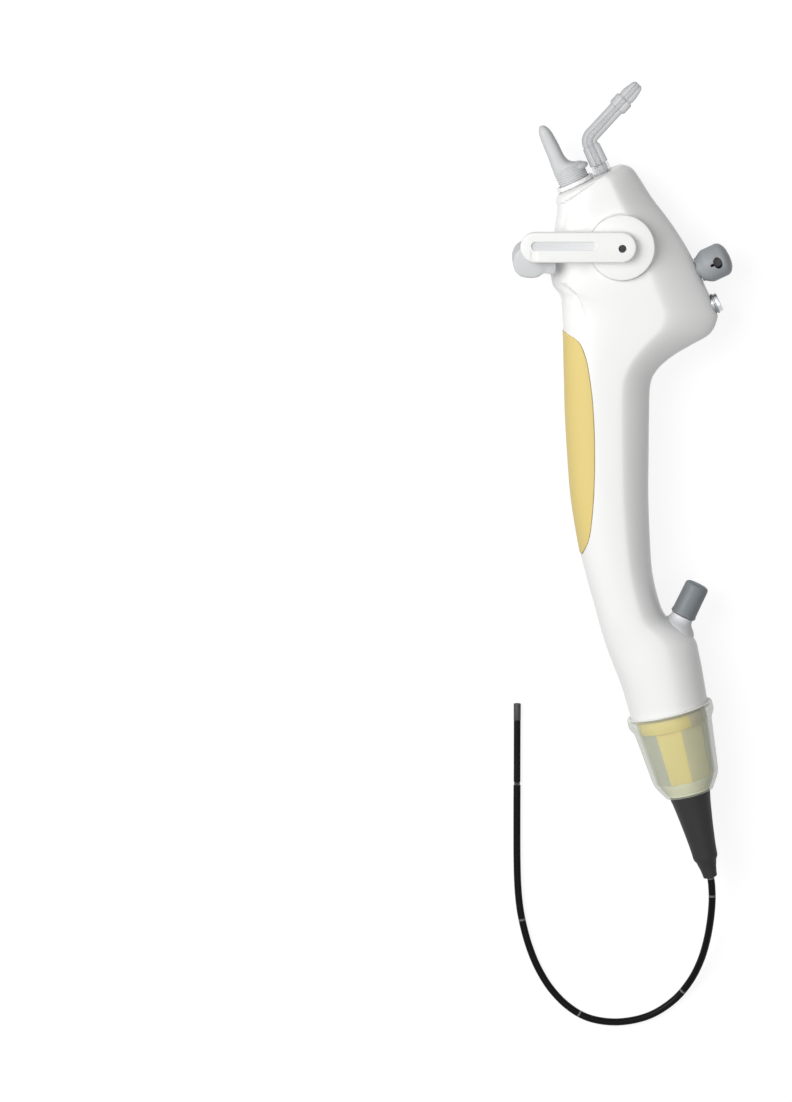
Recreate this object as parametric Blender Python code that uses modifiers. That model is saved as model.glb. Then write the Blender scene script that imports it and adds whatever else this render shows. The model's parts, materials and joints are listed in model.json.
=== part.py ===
"""Flexible endoscope: a moulded handle with a control lever, a suction valve, a clear suction elbow,
a working channel port, a rotation ring with its boot, and a thin tube with a steerable end.

The instrument lies on its far side. X points to the finger side, Y to the head, Z up to the near side.
The origin is the foot of the lever's pivot axis, on the face of the far hub cap.
"""
import math

import bmesh
import bpy
from mathutils import Matrix, Vector

MM = 0.001

# Clearances
GAP = 0.3 * MM
HINGE_GAP = 0.08 * MM

# How far a cutter runs past what it cuts
CUT_MARGIN = 5.0 * MM

# Handle shell
WALL = 1.8 * MM
HEAD_HALF = 17.0 * MM
CAP_PROUD = 2.4 * MM
MID_Z = HEAD_HALF + CAP_PROUD
PARTING_GAP = GAP
SHELL_ANGLES = 8
SHELL_OVERRUN = math.radians(12)
DECK_INSET = 4.0 * MM
DECK_ROWS = 2
DECK_CORNER = 1.5
HEAD_TILT = math.radians(25)

# The outline of the handle seen from the side, from the deck down to the rotation ring.
# Each station gives the back point, the front point, half the thickness and the squareness.
STATIONS = [
    ((-25.1, 22.9), (0.9, 34.5), 13.3, 3.0),
    ((-26.5, 21.8), (4.6, 33.2), 14.6, 3.1),
    ((-27.2, 19.6), (7.6, 29.6), 15.6, 3.2),
    ((-27.7, 14.5), (13.9, 19.8), 16.6, 3.3),
    ((-28.8, 6.6), (22.0, 9.2), 17.0, 3.4),
    ((-30.1, -3.1), (30.0, -3.4), 17.0, 3.4),
    ((-30.6, -11.0), (36.3, -16.6), 17.0, 3.4),
    ((-29.6, -17.6), (41.9, -28.8), 17.0, 3.4),
    ((-26.8, -22.0), (42.4, -33.2), 16.9, 3.3),
    ((-25.5, -27.3), (39.2, -39.4), 16.7, 3.2),
    ((-25.1, -34.8), (31.2, -44.2), 16.5, 3.1),
    ((-24.7, -42.7), (23.3, -48.9), 16.3, 3.0),
    ((-24.5, -51.5), (16.6, -54.8), 16.1, 2.9),
    ((-24.2, -61.2), (13.4, -61.6), 16.0, 2.8),
    ((-23.8, -75.7), (12.9, -75.7), 16.0, 2.7),
    ((-22.7, -93.3), (12.8, -93.3), 16.0, 2.6),
    ((-21.1, -112.2), (12.8, -111.3), 16.0, 2.6),
    ((-17.6, -133.3), (13.6, -131.1), 15.8, 2.5),
    ((-14.5, -146.1), (14.5, -143.0), 15.7, 2.5),
    ((-11.4, -157.1), (16.6, -153.6), 15.7, 2.5),
    ((-8.8, -166.8), (20.4, -163.7), 15.9, 2.4),
    ((-7.0, -172.9), (27.9, -169.0), 16.2, 2.4),
    ((-5.3, -178.2), (33.7, -174.8), 16.6, 2.3),
    ((-2.6, -185.3), (35.6, -181.3), 17.0, 2.2),
    ((1.6, -196.3), (37.4, -190.5), 17.3, 2.1),
]

# Lower end of the handle and everything that turns on its axis
RING_TILT = math.radians(14)
RING_ORIGIN = Vector((22.2, -204.8, 0)) * MM + Vector((0, 0, MID_Z))
HANDLE_END_R = 17.3 * MM
FLANGE_R = MID_Z - 0.1 * MM
FLANGE_TOP = -0.8 * MM
FLANGE_BOTTOM = 4.6 * MM
RING_SHOULDER_R = HANDLE_END_R - 0.1 * MM
RING_SHOULDER_T = 6.4 * MM
RING_WALL = 1.6 * MM
RING_LOW_R = 14.0 * MM
RING_LOW_T = 32.4 * MM
RING_END_T = 39.2 * MM
SPIGOT_R = 7.0 * MM
SPIGOT_END = 16.0 * MM
SNAP_T = 13.0 * MM
SNAP_THICK = 1.1 * MM
SNAP_DEPTH = 0.8 * MM
SNAP_R = 8.2 * MM
CORE_FACETS = 8
CORE_TOP = 2.0 * MM
CORE_BAND = 5.4 * MM
CORE_END = 33.4 * MM
BOOT_PLUG_R = 8.3 * MM
BOOT_PLUG_TOP = 25.0 * MM
BOOT_COLLAR_R = 9.0 * MM
BOOT_COLLAR_END = 41.0 * MM
BOOT_SHOULDER_R = 5.5 * MM
BOOT_SHOULDER_T = 70.8 * MM
BOOT_END_R = 2.9 * MM
BOOT_END_T = 79.0 * MM
FERRULE_R = 2.4 * MM
FERRULE_TOP = -9.0 * MM
FERRULE_END = 60.0 * MM

# Pivot of the control lever
AXLE_R = 2.5 * MM
PIVOT_BUSH_R = 4.3 * MM
DISC_R = 14.3 * MM
DISC_PROUD = 2.5 * MM
DISC_EDGE = 0.6 * MM
DISC_ROOT = 3.0 * MM
BUSH_DEPTH = 2.0 * MM
CAP_FLOOR = 1.2 * MM
AXLE_ENTRY = 0.9 * MM
HUB_CAP_R = 13.5 * MM
DRUM_R = 8.5 * MM
DRUM_GROOVE_R = 6.6 * MM
DRUM_HALF = 4.0 * MM
ARM_HALF_WIDTH = 6.7 * MM
ARM_END_X = -37.5 * MM
ARM_THICK = 4.2 * MM
ARM_CENTRE_Y = 0.5 * MM
ARM_EDGE = 0.9 * MM
GROOVE_FROM_X = -37.6 * MM
GROOVE_TO_X = -13.0 * MM
GROOVE_Y = 1.1 * MM
GROOVE_HALF = 2.0 * MM
GROOVE_DEPTH = 0.6 * MM
SCREW_HOLE_R = 1.75 * MM
SCREW_HEAD_R = 1.45 * MM
SCREW_SHANK_R = 0.7 * MM
SCREW_SUNK = 1.3 * MM
SCREW_HEAD_THICK = 1.3 * MM
SCREW_LENGTH = 5.0 * MM
PAD_INNER_R = 35.4 * MM
PAD_LOW_Z = 6.5 * MM
PAD_OUTLINE = [(-39.0, 0.9), (-43.0, 0.4), (-46.0, -2.2), (-47.2, -6.0),
               (-46.6, -9.8), (-44.0, -12.4), (-40.0, -13.2), (-36.6, -12.8)]
PAD_ARC = (179.6, 198.0)
PAD_EDGE = 1.4 * MM

# Pull wires
WIRE_R = 0.35 * MM
WIRE_TOP_Y = -1.0 * MM
WIRE_END_Y = -84.0 * MM
BLOCK_TOP_Y = -78.0 * MM
BLOCK_END_Y = -89.0 * MM
BLOCK_LEFT_X = -9.4 * MM
BLOCK_RIGHT_X = 7.5 * MM
BLOCK_RISE = 2.5 * MM
BLOCK_LUG_R = 1.9 * MM
SHEATH_R = 0.8 * MM
SHEATH_STRAIGHT = 12.0 * MM
SHEATH_NARROW_Y = -125.0 * MM
SHEATH_LOW = Vector((6.0, -160.0, 0)) * MM
SHEATH_APART = 1.2 * MM
LINE_STEP = 9.0 * MM

# Chassis, board and inner lines
CHASSIS_LOW_Z = 8.4 * MM
CHASSIS_THICK = 1.6 * MM
CHASSIS_OUTLINE = [(-15.5, 12.0), (-5.0, 19.0), (7.0, 15.0), (19.5, 0.5), (26.5, -18.0),
                   (25.5, -29.0), (14.0, -36.0), (5.5, -46.0), (3.5, -90.0), (-14.0, -90.0),
                   (-15.5, -42.0), (-17.0, -12.0)]
CHASSIS_FEET = [(-14.0, 8.0), (13.0, 0.0), (20.0, -25.0), (-12.0, -26.0), (-6.0, -58.0), (-6.0, -84.0)]
FOOT_R = 2.2 * MM
FOOT_CLEARANCE = 0.8 * MM
BOARD_THICK = 1.2 * MM
BOARD_U = (5.0, 16.0)
BOARD_V = (-34.0, -10.0)
CHANNEL_R = 1.4 * MM
CONNECTOR_R = 2.2 * MM
CONNECTOR_DOWN = 13.0 * MM
CONNECTOR_SIDE = Vector((-9.5, 6.0, 0)) * MM
LINE_DROP = 4.5 * MM
# The channel's route up the back of the grip, in the middle plane
CHANNEL_ROUTE = [(0, -150.0), (-9.0, -125.0), (-14.5, -100.0), (-15.0, -80.0), (-14.5, -45.0),
                 (-12.8, -9.0), (-10.9, 0.5)]
# The cable's route, with its height over the board
CABLE_ROUTE = [(11.0, -36.0, 0), (3.0, -55.0, 0), (2.0, -74.0, 13.0), (2.0, -92.0, 13.0),
               (4.0, -125.0, 12.0), (11.0, -160.0, 12.0)]
CABLE_R = 0.9 * MM

# Posts that locate the two half shells
POSTS = [(-21.0, -8.0), (29.5, -35.0), (-19.2, -70.0), (8.8, -124.0)]
POST_R = 2.4 * MM
PEG_R = 1.1 * MM
PEG_LENGTH = 3.0 * MM

# Soft pad in the back of the grip: its front edge seen from the side
GRIP_PAD_EDGE = [(-24.4, -38.0), (-18.7, -41.5), (-15.5, -48.5), (-13.5, -59.0), (-12.2, -71.0),
                 (-11.5, -86.0), (-11.5, -102.0), (-12.2, -116.0), (-13.6, -128.0), (-16.4, -135.8)]
GRIP_PAD_DEPTH = 1.0 * MM
GRIP_PAD_PROUD = 0.25 * MM
BEHIND_X = -60.0 * MM

# Deck: suction button and elbow, on axes square to the deck
DECK_V = 31.5 * MM
VALVE_U = -6.8 * MM
BUTTON_R = 6.5 * MM
BUTTON_FOOT_V = 31.6 * MM
BUTTON_TOP_V = 40.2 * MM
SEAT_BORE_R = BUTTON_R + GAP
SEAT_SPIGOT_R = 7.6 * MM
SEAT_FLANGE_R = 8.8 * MM
SEAT_TOP_V = 34.2 * MM
SEAT_LOW_V = 26.4 * MM
# The horn seen from the side: across from the button's axis, and up from its top
HORN_OUTLINE = [(-5.6, -1.4), (-5.5, 4.8), (-5.1, 12.8), (-4.8, 17.8), (-4.0, 20.5),
                (-2.5, 21.4), (-1.0, 20.6), (-0.2, 17.8), (0.2, 9.8), (1.2, 5.0),
                (3.4, 2.2), (5.9, 0.8), (5.9, -1.4)]
HORN_HALF = 4.4 * MM
HORN_EDGE = 1.5 * MM
BELLOWS_RIBS = 4
RIB_DEPTH = 0.5 * MM
RIB_REST = 1.6 * MM
BUTTON_PEG_R = 1.4 * MM
BUTTON_PEG_LENGTH = 3.0 * MM
PISTON_HEIGHT = 5.0 * MM
SEAT_LIP = 1.0 * MM
SEAT_EDGE = 0.5 * MM
CYLINDER_R = 5.0 * MM
CYLINDER_LIP = 0.9 * MM
CYLINDER_FLOOR = 1.5 * MM
CYLINDER_LOW_V = 12.0 * MM
PISTON_R = 3.3 * MM
PISTON_COLLAR_R = 2.6 * MM
PISTON_COLLAR = 1.0 * MM
PISTON_LOW_V = 17.0 * MM
ELBOW_U = 6.2 * MM
ELBOW_R = 3.3 * MM
ELBOW_BORE_R = 1.9 * MM
ELBOW_STEM_R = 2.6 * MM
ELBOW_STEM_LOW_V = 25.0 * MM
ELBOW_SLEEVE_R = 4.0 * MM
ELBOW_SLEEVE_DROP = 3.8 * MM
ELBOW_BEND_V = 47.6 * MM
ELBOW_RISE = math.radians(22.4)
ELBOW_LENGTH = 32.6 * MM
KNEE_BULGE = 0.26 * MM
ELBOW_FLANGE_AT = 23.4 * MM
ELBOW_FLANGE_R = 4.4 * MM
ELBOW_FLANGE_HALF = 1.0 * MM
BARB_AT = 26.6 * MM
BARB_R = 3.6 * MM
BARB_TIP_R = 1.9 * MM
ELBOW_SOCKET_R = 3.9 * MM
ELBOW_SOCKET_TOP_V = 35.0 * MM
ELBOW_SOCKET_LOW_V = 24.0 * MM

# Finger face: cable socket and record button, on axes square to the face
FACE_U = 25.85 * MM
SOCKET_V = -24.8 * MM
SOCKET_SHAFT_R = 3.9 * MM
SOCKET_HEAD_R = 7.5 * MM
SOCKET_NECK_R = 5.3 * MM
SOCKET_END_U = 41.0 * MM
SOCKET_HOLE_U = 35.0 * MM
SOCKET_HOLE_R = 2.3 * MM
SOCKET_KEY_HALF = 0.6 * MM
SOCKET_HOLE_DEPTH = 6.0 * MM
NUT_R = 5.8 * MM
NUT_THICK = 2.6 * MM
RECORD_V = -41.2 * MM
RECORD_R = 3.5 * MM
RECORD_END_U = 29.7 * MM
RECORD_TRAVEL = 0.8 * MM
BEZEL_R = 4.6 * MM
BEZEL_BARREL_R = 4.1 * MM
BEZEL_RIM = 0.8 * MM
BEZEL_FLOOR = 1.0 * MM
PLUNGER_R = 1.4 * MM
BEZEL_LOW_U = 20.0 * MM
SWITCH_R = 3.2 * MM
SWITCH_THICK = 3.2 * MM

# Working channel port
PORT_TILT = math.radians(25.4)
PORT_BASE = Vector((26.4, -168.1, 0)) * MM + Vector((0, 0, MID_Z))
PORT_FOOT_R = 7.4 * MM
PORT_NECK_R = 5.0 * MM
PORT_SHANK_R = 4.6 * MM
PORT_SHANK_LOW = -5.5 * MM
PORT_CAP_FROM = 4.4 * MM
PORT_CAP_TO = 19.8 * MM
PORT_CAP_R = 5.55 * MM
PORT_NOZZLE_R = 2.9 * MM
PORT_NOZZLE_TO = 15.6 * MM
PORT_BORE_R = 1.6 * MM

# Insertion tube: a route chosen by hand, then the steerable end along +Y
TUBE_R = 1.6 * MM
TUBE_START_T = 63.0 * MM
TUBE_STEP = 7.5 * MM
LOOP_DEPTH = 69.45 * MM
TUBE_END = Vector((-44.2, -243.2, 1.7)) * MM
# Across, share of the loop's depth below the boot, and height, from the boot to the tube's end
TUBE_ROUTE = [
    (41.95, 0.065, 19.2), (42.2, 0.166, 17.9), (41.6, 0.303, 14.9), (40.2, 0.446, 11.0), (37.8, 0.582, 7.2),
    (33.7, 0.716, 4.2), (27.2, 0.842, 2.3), (18.2, 0.938, 1.7), (8.6, 0.987, 1.7), (-2.0, 1.000, 1.7),
    (-12.6, 0.970, 1.7), (-21.4, 0.893, 1.7), (-28.9, 0.780, 1.7), (-34.5, 0.647, 1.7), (-38.3, 0.515, 1.7),
    (-40.9, 0.385, 1.7), (-42.7, 0.256, 1.7), (-43.7, 0.109, 1.7), (-44.1, -0.064, 1.7),
    (-44.2, -0.309, 1.7),
]
LINK_COUNT = 7
LINK_PITCH = 4.0 * MM
LINK_R = 1.35 * MM
LINK_BORE_R = 0.8 * MM
LINK_INSET = 0.9 * MM
TONGUE_HALF = 0.5 * MM
TONGUE_SPLIT = 1.01 * MM
TONGUE_THICK = 0.27 * MM
TONGUE_CORNERS = 4
FIRST_PIVOT = 1.6 * MM
TIP_R = 1.6 * MM
TIP_LENGTH = 7.5 * MM
LENS_R = 0.5 * MM
LIGHT_R = 0.28 * MM

# Facets round a turned piece, and round a small or hidden one
ROUND_STEPS = 18
SMALL_STEPS = 12
LINK_STEPS = 8
RING_STEPS = 24

COLOURS = {
    "white_shell": ((0.86, 0.86, 0.86), 0.35, 0.0),
    "soft_white": ((0.80, 0.80, 0.80), 0.6, 0.0),
    "yellow_pad": ((0.80, 0.67, 0.22), 0.6, 0.0),
    "grey_soft": ((0.24, 0.27, 0.29), 0.6, 0.0),
    "light_grey": ((0.50, 0.51, 0.52), 0.45, 0.0),
    "charcoal": ((0.035, 0.035, 0.035), 0.6, 0.0),
    "black_tube": ((0.01, 0.01, 0.01), 0.35, 0.0),
    "clear": ((0.80, 0.82, 0.82), 0.1, 0.0),
    "ring_amber": ((0.62, 0.60, 0.42), 0.3, 0.0),
    "core_yellow": ((0.80, 0.68, 0.20), 0.4, 0.0),
    "steel": ((0.60, 0.60, 0.60), 0.3, 1.0),
    "brass": ((0.70, 0.52, 0.22), 0.35, 1.0),
    "board_green": ((0.03, 0.20, 0.09), 0.5, 0.0),
}


def clear_scene():
    for obj in list(bpy.data.objects):
        bpy.data.objects.remove(obj, do_unlink=True)


def make_collection(name):
    collection = bpy.data.collections.new(name)
    bpy.context.scene.collection.children.link(collection)
    return collection


def make_materials():
    made = {}
    for name, (colour, roughness, metallic) in COLOURS.items():
        material = bpy.data.materials.new(name)
        material.use_nodes = True
        shader = material.node_tree.nodes["Principled BSDF"]
        shader.inputs["Base Color"].default_value = (*colour, 1.0)
        shader.inputs["Roughness"].default_value = roughness
        shader.inputs["Metallic"].default_value = metallic
        made[name] = material
    return made


clear_scene()
ENDOSCOPE = make_collection("flexible_endoscope")
CUTTERS = make_collection("cutters")
MATERIALS = make_materials()


# Frames: the head's axes, the ring's axis and the port's axis

def head_point(u, v, z=MID_Z):
    x = u * math.cos(HEAD_TILT) - v * math.sin(HEAD_TILT)
    y = u * math.sin(HEAD_TILT) + v * math.cos(HEAD_TILT)
    return Vector((x, y, z))


U_AXIS = Vector((math.cos(HEAD_TILT), math.sin(HEAD_TILT), 0))
V_AXIS = Vector((-math.sin(HEAD_TILT), math.cos(HEAD_TILT), 0))
RING_AXIS = Vector((math.sin(RING_TILT), -math.cos(RING_TILT), 0))
PORT_AXIS = Vector((math.sin(PORT_TILT), math.cos(PORT_TILT), 0))

# Where the sheaths and the cable stop, short of the tube's ferrule
LINES_END = RING_ORIGIN + RING_AXIS * (FERRULE_TOP - 3 * MM)


def axis_frame(origin, axis, turn=0.0):
    """A frame with its Z along the axis and its X towards world Z, or world X if they are parallel."""
    z_axis = axis.normalized()
    reference = Vector((0, 0, 1)) if abs(z_axis.z) < 0.9 else Vector((1, 0, 0))
    x_axis = (reference - z_axis * reference.dot(z_axis)).normalized()
    y_axis = z_axis.cross(x_axis)
    rotation = Matrix((x_axis, y_axis, z_axis)).transposed().to_4x4()
    return Matrix.Translation(origin) @ rotation @ Matrix.Rotation(turn, 4, "Z")


# Modelling helpers

def add_object(name, mesh, material=None, matrix=None):
    """Links a piece to the instrument, or a cutter to the cutters when it has no material."""
    obj = bpy.data.objects.new(name, mesh)
    if matrix is not None:
        obj.matrix_world = matrix
    if material is None:
        CUTTERS.objects.link(obj)
        obj.hide_render = True
        obj.display_type = "WIRE"
    else:
        ENDOSCOPE.objects.link(obj)
        obj.data.materials.append(MATERIALS[material])
    return obj


def smooth(mesh):
    mesh.shade_smooth()
    mesh.set_sharp_from_angle(angle=math.radians(35))


def turned(name, profile, matrix, material=None, steps=ROUND_STEPS):
    """A profile of (radius, height) points, down its outer side, turned about the frame's Z.

    A profile that starts and ends on the axis is solid; any other is closed into a ring."""
    mesh = bpy.data.meshes.new(name)
    corners = [(radius, 0, height) for radius, height in profile]
    edges = [(i, i + 1) for i in range(len(corners) - 1)]
    if profile[0][0] > 0 or profile[-1][0] > 0:
        edges.append((len(corners) - 1, 0))
    mesh.from_pydata(corners, edges, [])
    obj = add_object(name, mesh, material, matrix)
    screw = obj.modifiers.new("turn", "SCREW")
    screw.steps = steps
    screw.render_steps = steps
    screw.use_merge_vertices = True
    screw.merge_threshold = 0.00001
    screw.use_smooth_shade = True
    return obj


def cylinder(name, start, end, radius, material=None, segments=SMALL_STEPS):
    mesh = bpy.data.meshes.new(name)
    shape = bmesh.new()
    length = (end - start).length
    bmesh.ops.create_cone(shape, cap_ends=True, segments=segments, radius1=radius, radius2=radius,
                          depth=length, matrix=Matrix.Translation((0, 0, length / 2)))
    shape.to_mesh(mesh)
    shape.free()
    smooth(mesh)
    return add_object(name, mesh, material, axis_frame(start, end - start))


def box(name, low, high, material=None, matrix=None):
    mesh = bpy.data.meshes.new(name)
    shape = bmesh.new()
    size = Vector(high) - Vector(low)
    centre = (Vector(high) + Vector(low)) / 2
    bmesh.ops.create_cube(shape, size=1.0, matrix=Matrix.Translation(centre) @ Matrix.Diagonal((*size, 1)))
    shape.to_mesh(mesh)
    shape.free()
    return add_object(name, mesh, material, matrix)


def ball(name, centre, radius, material=None, segments=SMALL_STEPS):
    mesh = bpy.data.meshes.new(name)
    shape = bmesh.new()
    bmesh.ops.create_uvsphere(shape, u_segments=segments, v_segments=segments // 2, radius=radius)
    shape.to_mesh(mesh)
    shape.free()
    smooth(mesh)
    return add_object(name, mesh, material, Matrix.Translation(centre))


def curve_mesh(name, curve, material):
    """Turns a curve into a welded mesh object, so that it can be cut or joined."""
    holder = bpy.data.objects.new(name + "_curve", curve)
    bpy.context.scene.collection.objects.link(holder)
    bpy.context.view_layer.update()
    evaluated = holder.evaluated_get(bpy.context.evaluated_depsgraph_get())
    mesh = bpy.data.meshes.new_from_object(evaluated)
    mesh.name = name
    shape = bmesh.new()
    shape.from_mesh(mesh)
    bmesh.ops.remove_doubles(shape, verts=shape.verts, dist=0.000001)
    shape.to_mesh(mesh)
    shape.free()
    mesh.materials.clear()
    obj = add_object(name, mesh, material, holder.matrix_world.copy())
    bpy.data.objects.remove(holder, do_unlink=True)
    return obj


def flat_piece(name, outline, low_z, high_z, material=None):
    """A flat outline in X and Y, extruded from low_z to high_z."""
    curve = bpy.data.curves.new(name, "CURVE")
    curve.dimensions = "2D"
    curve.fill_mode = "BOTH"
    curve.extrude = (high_z - low_z) / 2
    spline = curve.splines.new("POLY")
    spline.points.add(len(outline) - 1)
    for point, (x, y) in zip(spline.points, outline):
        point.co = (x, y, 0, 1)
    spline.use_cyclic_u = True
    obj = curve_mesh(name, curve, material)
    obj.location.z = (low_z + high_z) / 2
    return obj


def tube(name, route, radius, material, resolution=2):
    curve = bpy.data.curves.new(name, "CURVE")
    curve.dimensions = "3D"
    curve.bevel_depth = radius
    curve.bevel_resolution = resolution
    curve.use_fill_caps = True
    spline = curve.splines.new("POLY")
    spline.points.add(len(route) - 1)
    for point, place in zip(spline.points, route):
        point.co = (*place, 1)
    return curve_mesh(name, curve, material)


def smooth_route(points, step):
    """Points at about equal steps on a Catmull-Rom curve through the given ones."""
    places = [points[0] * 2 - points[1], *points, points[-1] * 2 - points[-2]]
    fine = []
    for i in range(1, len(places) - 2):
        a, b, c, d = places[i - 1:i + 3]
        for k in range(12):
            t = k / 12
            fine.append(0.5 * (2 * b + (c - a) * t + (2 * a - 5 * b + 4 * c - d) * t ** 2
                               + (3 * b - a - 3 * c + d) * t ** 3))
    fine.append(points[-1])
    length = sum((q - p).length for p, q in zip(fine, fine[1:]))
    count = max(2, round(length / step))
    route = [fine[0]]
    travelled = 0.0
    for p, q in zip(fine, fine[1:]):
        travelled += (q - p).length
        if travelled >= len(route) * length / count and len(route) < count:
            route.append(q)
    route.append(fine[-1])
    return route


def modify(target, other, operation):
    boolean = target.modifiers.new(operation.lower(), "BOOLEAN")
    boolean.object = other
    boolean.operation = operation
    boolean.solver = "EXACT"


def cut(target, *others):
    for other in others:
        modify(target, other, "DIFFERENCE")


def join(target, *others):
    for other in others:
        modify(target, other, "UNION")


def round_edges(obj, width, segments=2, angle=35):
    bevel = obj.modifiers.new("rounding", "BEVEL")
    bevel.width = width
    bevel.segments = segments
    bevel.limit_method = "ANGLE"
    bevel.angle_limit = math.radians(angle)


# Handle shell

def handle_stations():
    """The stations in metres, closed by the round end that the rotation ring turns on."""
    rows = [(Vector(back) * MM, Vector(front) * MM, half * MM, square)
            for back, front, half, square in STATIONS]
    end = RING_ORIGIN.to_2d()
    across = Vector((math.cos(RING_TILT), math.sin(RING_TILT))) * HANDLE_END_R
    rows.append((end - across, end + across, HANDLE_END_R, 2.0))
    return rows


HANDLE_ROWS = handle_stations()


def handle_point(row, angle, grow=0.0):
    """A point on the handle: angle 0 is its front, 90 degrees its near face, 180 its back."""
    index = min(int(row), len(HANDLE_ROWS) - 2)
    share = row - index
    back, front, half, square = [a + (b - a) * share
                                 for a, b in zip(HANDLE_ROWS[index], HANDLE_ROWS[index + 1])]
    centre = (back + front) / 2
    across = (front - back) / 2
    across += across.normalized() * grow
    power = 2 / square
    width = math.copysign(abs(math.cos(angle)) ** power, math.cos(angle))
    height = math.copysign(abs(math.sin(angle)) ** power, math.sin(angle))
    flat = centre + across * width
    return Vector((flat.x, flat.y, MID_Z + (half + grow) * height))


def grid_object(name, rows, material=None, closed=False):
    """A surface through rows of points. Closed rows make a solid, with its ends in cross strips."""
    shape = bmesh.new()
    made = [[shape.verts.new(point) for point in row] for row in rows]
    for upper, lower in zip(made, made[1:]):
        pairs = list(zip(range(len(upper)), range(1, len(upper))))
        if closed:
            pairs.append((len(upper) - 1, 0))
        for i, j in pairs:
            shape.faces.new((upper[i], lower[i], lower[j], upper[j]))
    if closed:
        last = len(rows[0]) - 1
        for end in (made[0][::-1], made[-1]):
            for i in range(last // 2):
                shape.faces.new((end[i], end[i + 1], end[last - i - 1], end[last - i]))
    bmesh.ops.remove_doubles(shape, verts=shape.verts, dist=0.00001)
    bmesh.ops.recalc_face_normals(shape, faces=shape.faces)
    mesh = bpy.data.meshes.new(name)
    shape.to_mesh(mesh)
    shape.free()
    smooth(mesh)
    return add_object(name, mesh, material)


def half_angles():
    """The angles of one half's facets, which run a little past the parting plane."""
    sweep = math.pi + 2 * SHELL_OVERRUN
    return [sweep * i / SHELL_ANGLES - SHELL_OVERRUN for i in range(SHELL_ANGLES + 1)]


def inner_point(row, angle):
    """A point on the inner face of the shell's wall, which also runs below the deck."""
    drop = max(0.0, 1 - row / DECK_ROWS)
    inset = WALL * DECK_CORNER if drop > 0 else WALL
    return handle_point(row, angle, -inset) - V_AXIS * WALL * drop


def half_shell(name, side):
    """One half of the shell, side 1 near and -1 far: a lofted wall with a deck across its top."""
    angles = [side * angle for angle in half_angles()]
    deck = [handle_point(0, angle, -DECK_INSET) for angle in angles]
    middle = [deck[0].lerp(deck[-1], i / SHELL_ANGLES) for i in range(SHELL_ANGLES + 1)]
    rows = [row + [point - V_AXIS * WALL for point in reversed(row)] for row in (middle, deck)]
    for row in range(len(HANDLE_ROWS)):
        rows.append([handle_point(row, angle) for angle in angles]
                    + [inner_point(row, angle) for angle in reversed(angles)])
    shell = grid_object(name, rows, "white_shell", closed=True)
    edge = MID_Z + side * PARTING_GAP / 2
    reach = Vector((0.1, 0.4, 0.04))
    low = Vector((-reach.x, -reach.y, edge if side < 0 else edge - reach.z))
    high = Vector((reach.x, reach.y, edge + reach.z if side < 0 else edge))
    cut(shell, box(name + "_parting_cutter", low, high))
    return shell


def envelope(name, grow, material=None):
    """The closed form of the handle, moved out by grow, with the same facets as the two halves."""
    near = half_angles()[1:-1]
    angles = [0.0, *near, math.pi, *[-angle for angle in reversed(near)]]
    rows = [[handle_point(row, angle, grow) for angle in angles] for row in range(len(HANDLE_ROWS))]
    return grid_object(name, rows, material, closed=True)


def add_posts(shell, side):
    """Posts that meet on the parting plane; pegs on the near half enter bores in the far one."""
    face = MID_Z + side * PARTING_GAP / 2
    for number, (x, y) in enumerate(POSTS):
        foot = Vector((x * MM, y * MM, face))
        top = Vector((x * MM, y * MM, MID_Z + side * (post_reach(number))))
        join(shell, cylinder(f"post_{side}_{number}", foot, top, POST_R))
        if side > 0:
            peg_top = foot + Vector((0, 0, PEG_LENGTH))
            peg_end = foot - Vector((0, 0, PEG_LENGTH))
            join(shell, cylinder(f"peg_{number}", peg_end, peg_top, PEG_R))
        else:
            bore_end = foot - Vector((0, 0, PEG_LENGTH + PARTING_GAP * 2))
            bore_top = foot + Vector((0, 0, PEG_LENGTH))
            cut(shell, cylinder(f"peg_bore_{number}", bore_end, bore_top, PEG_R + GAP))


def post_reach(number):
    """How far a post runs from the middle plane to end inside the wall that carries it."""
    x, y = POSTS[number]
    best = min(((row / 4, step) for row in range(4 * (len(HANDLE_ROWS) - 1)) for step in range(1, 36)),
               key=lambda place: flat_distance(handle_point(place[0], math.radians(5 * place[1])), x, y))
    return handle_point(best[0], math.radians(5 * best[1])).z - MID_Z - WALL / 2


def flat_distance(point, x, y):
    return (point.x - x * MM) ** 2 + (point.y - y * MM) ** 2


def grip_prism(name, spread):
    """The pad's outline seen from the side, moved out by spread, through the whole handle."""
    edge = [(x * MM + spread, y * MM) for x, y in GRIP_PAD_EDGE]
    top = edge[0][1] + spread
    bottom = edge[-1][1] - spread
    outline = [(BEHIND_X, top), (edge[0][0], top), *edge[1:-1], (edge[-1][0], bottom), (BEHIND_X, bottom)]
    return flat_piece(name, outline, -CUT_MARGIN, 2 * MID_Z + CUT_MARGIN)


def make_palm_pad():
    """Makes the pad and gives the cutter of its pocket."""
    pad = envelope("palm_pad", GRIP_PAD_PROUD, "yellow_pad")
    cut(pad, envelope("pad_inner_face", -GRIP_PAD_DEPTH))
    modify(pad, grip_prism("pad_outline", 0), "INTERSECT")
    pocket = grip_prism("pad_pocket", GAP)
    cut(pocket, envelope("pocket_floor", -GRIP_PAD_DEPTH - GAP))
    return pocket


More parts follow.
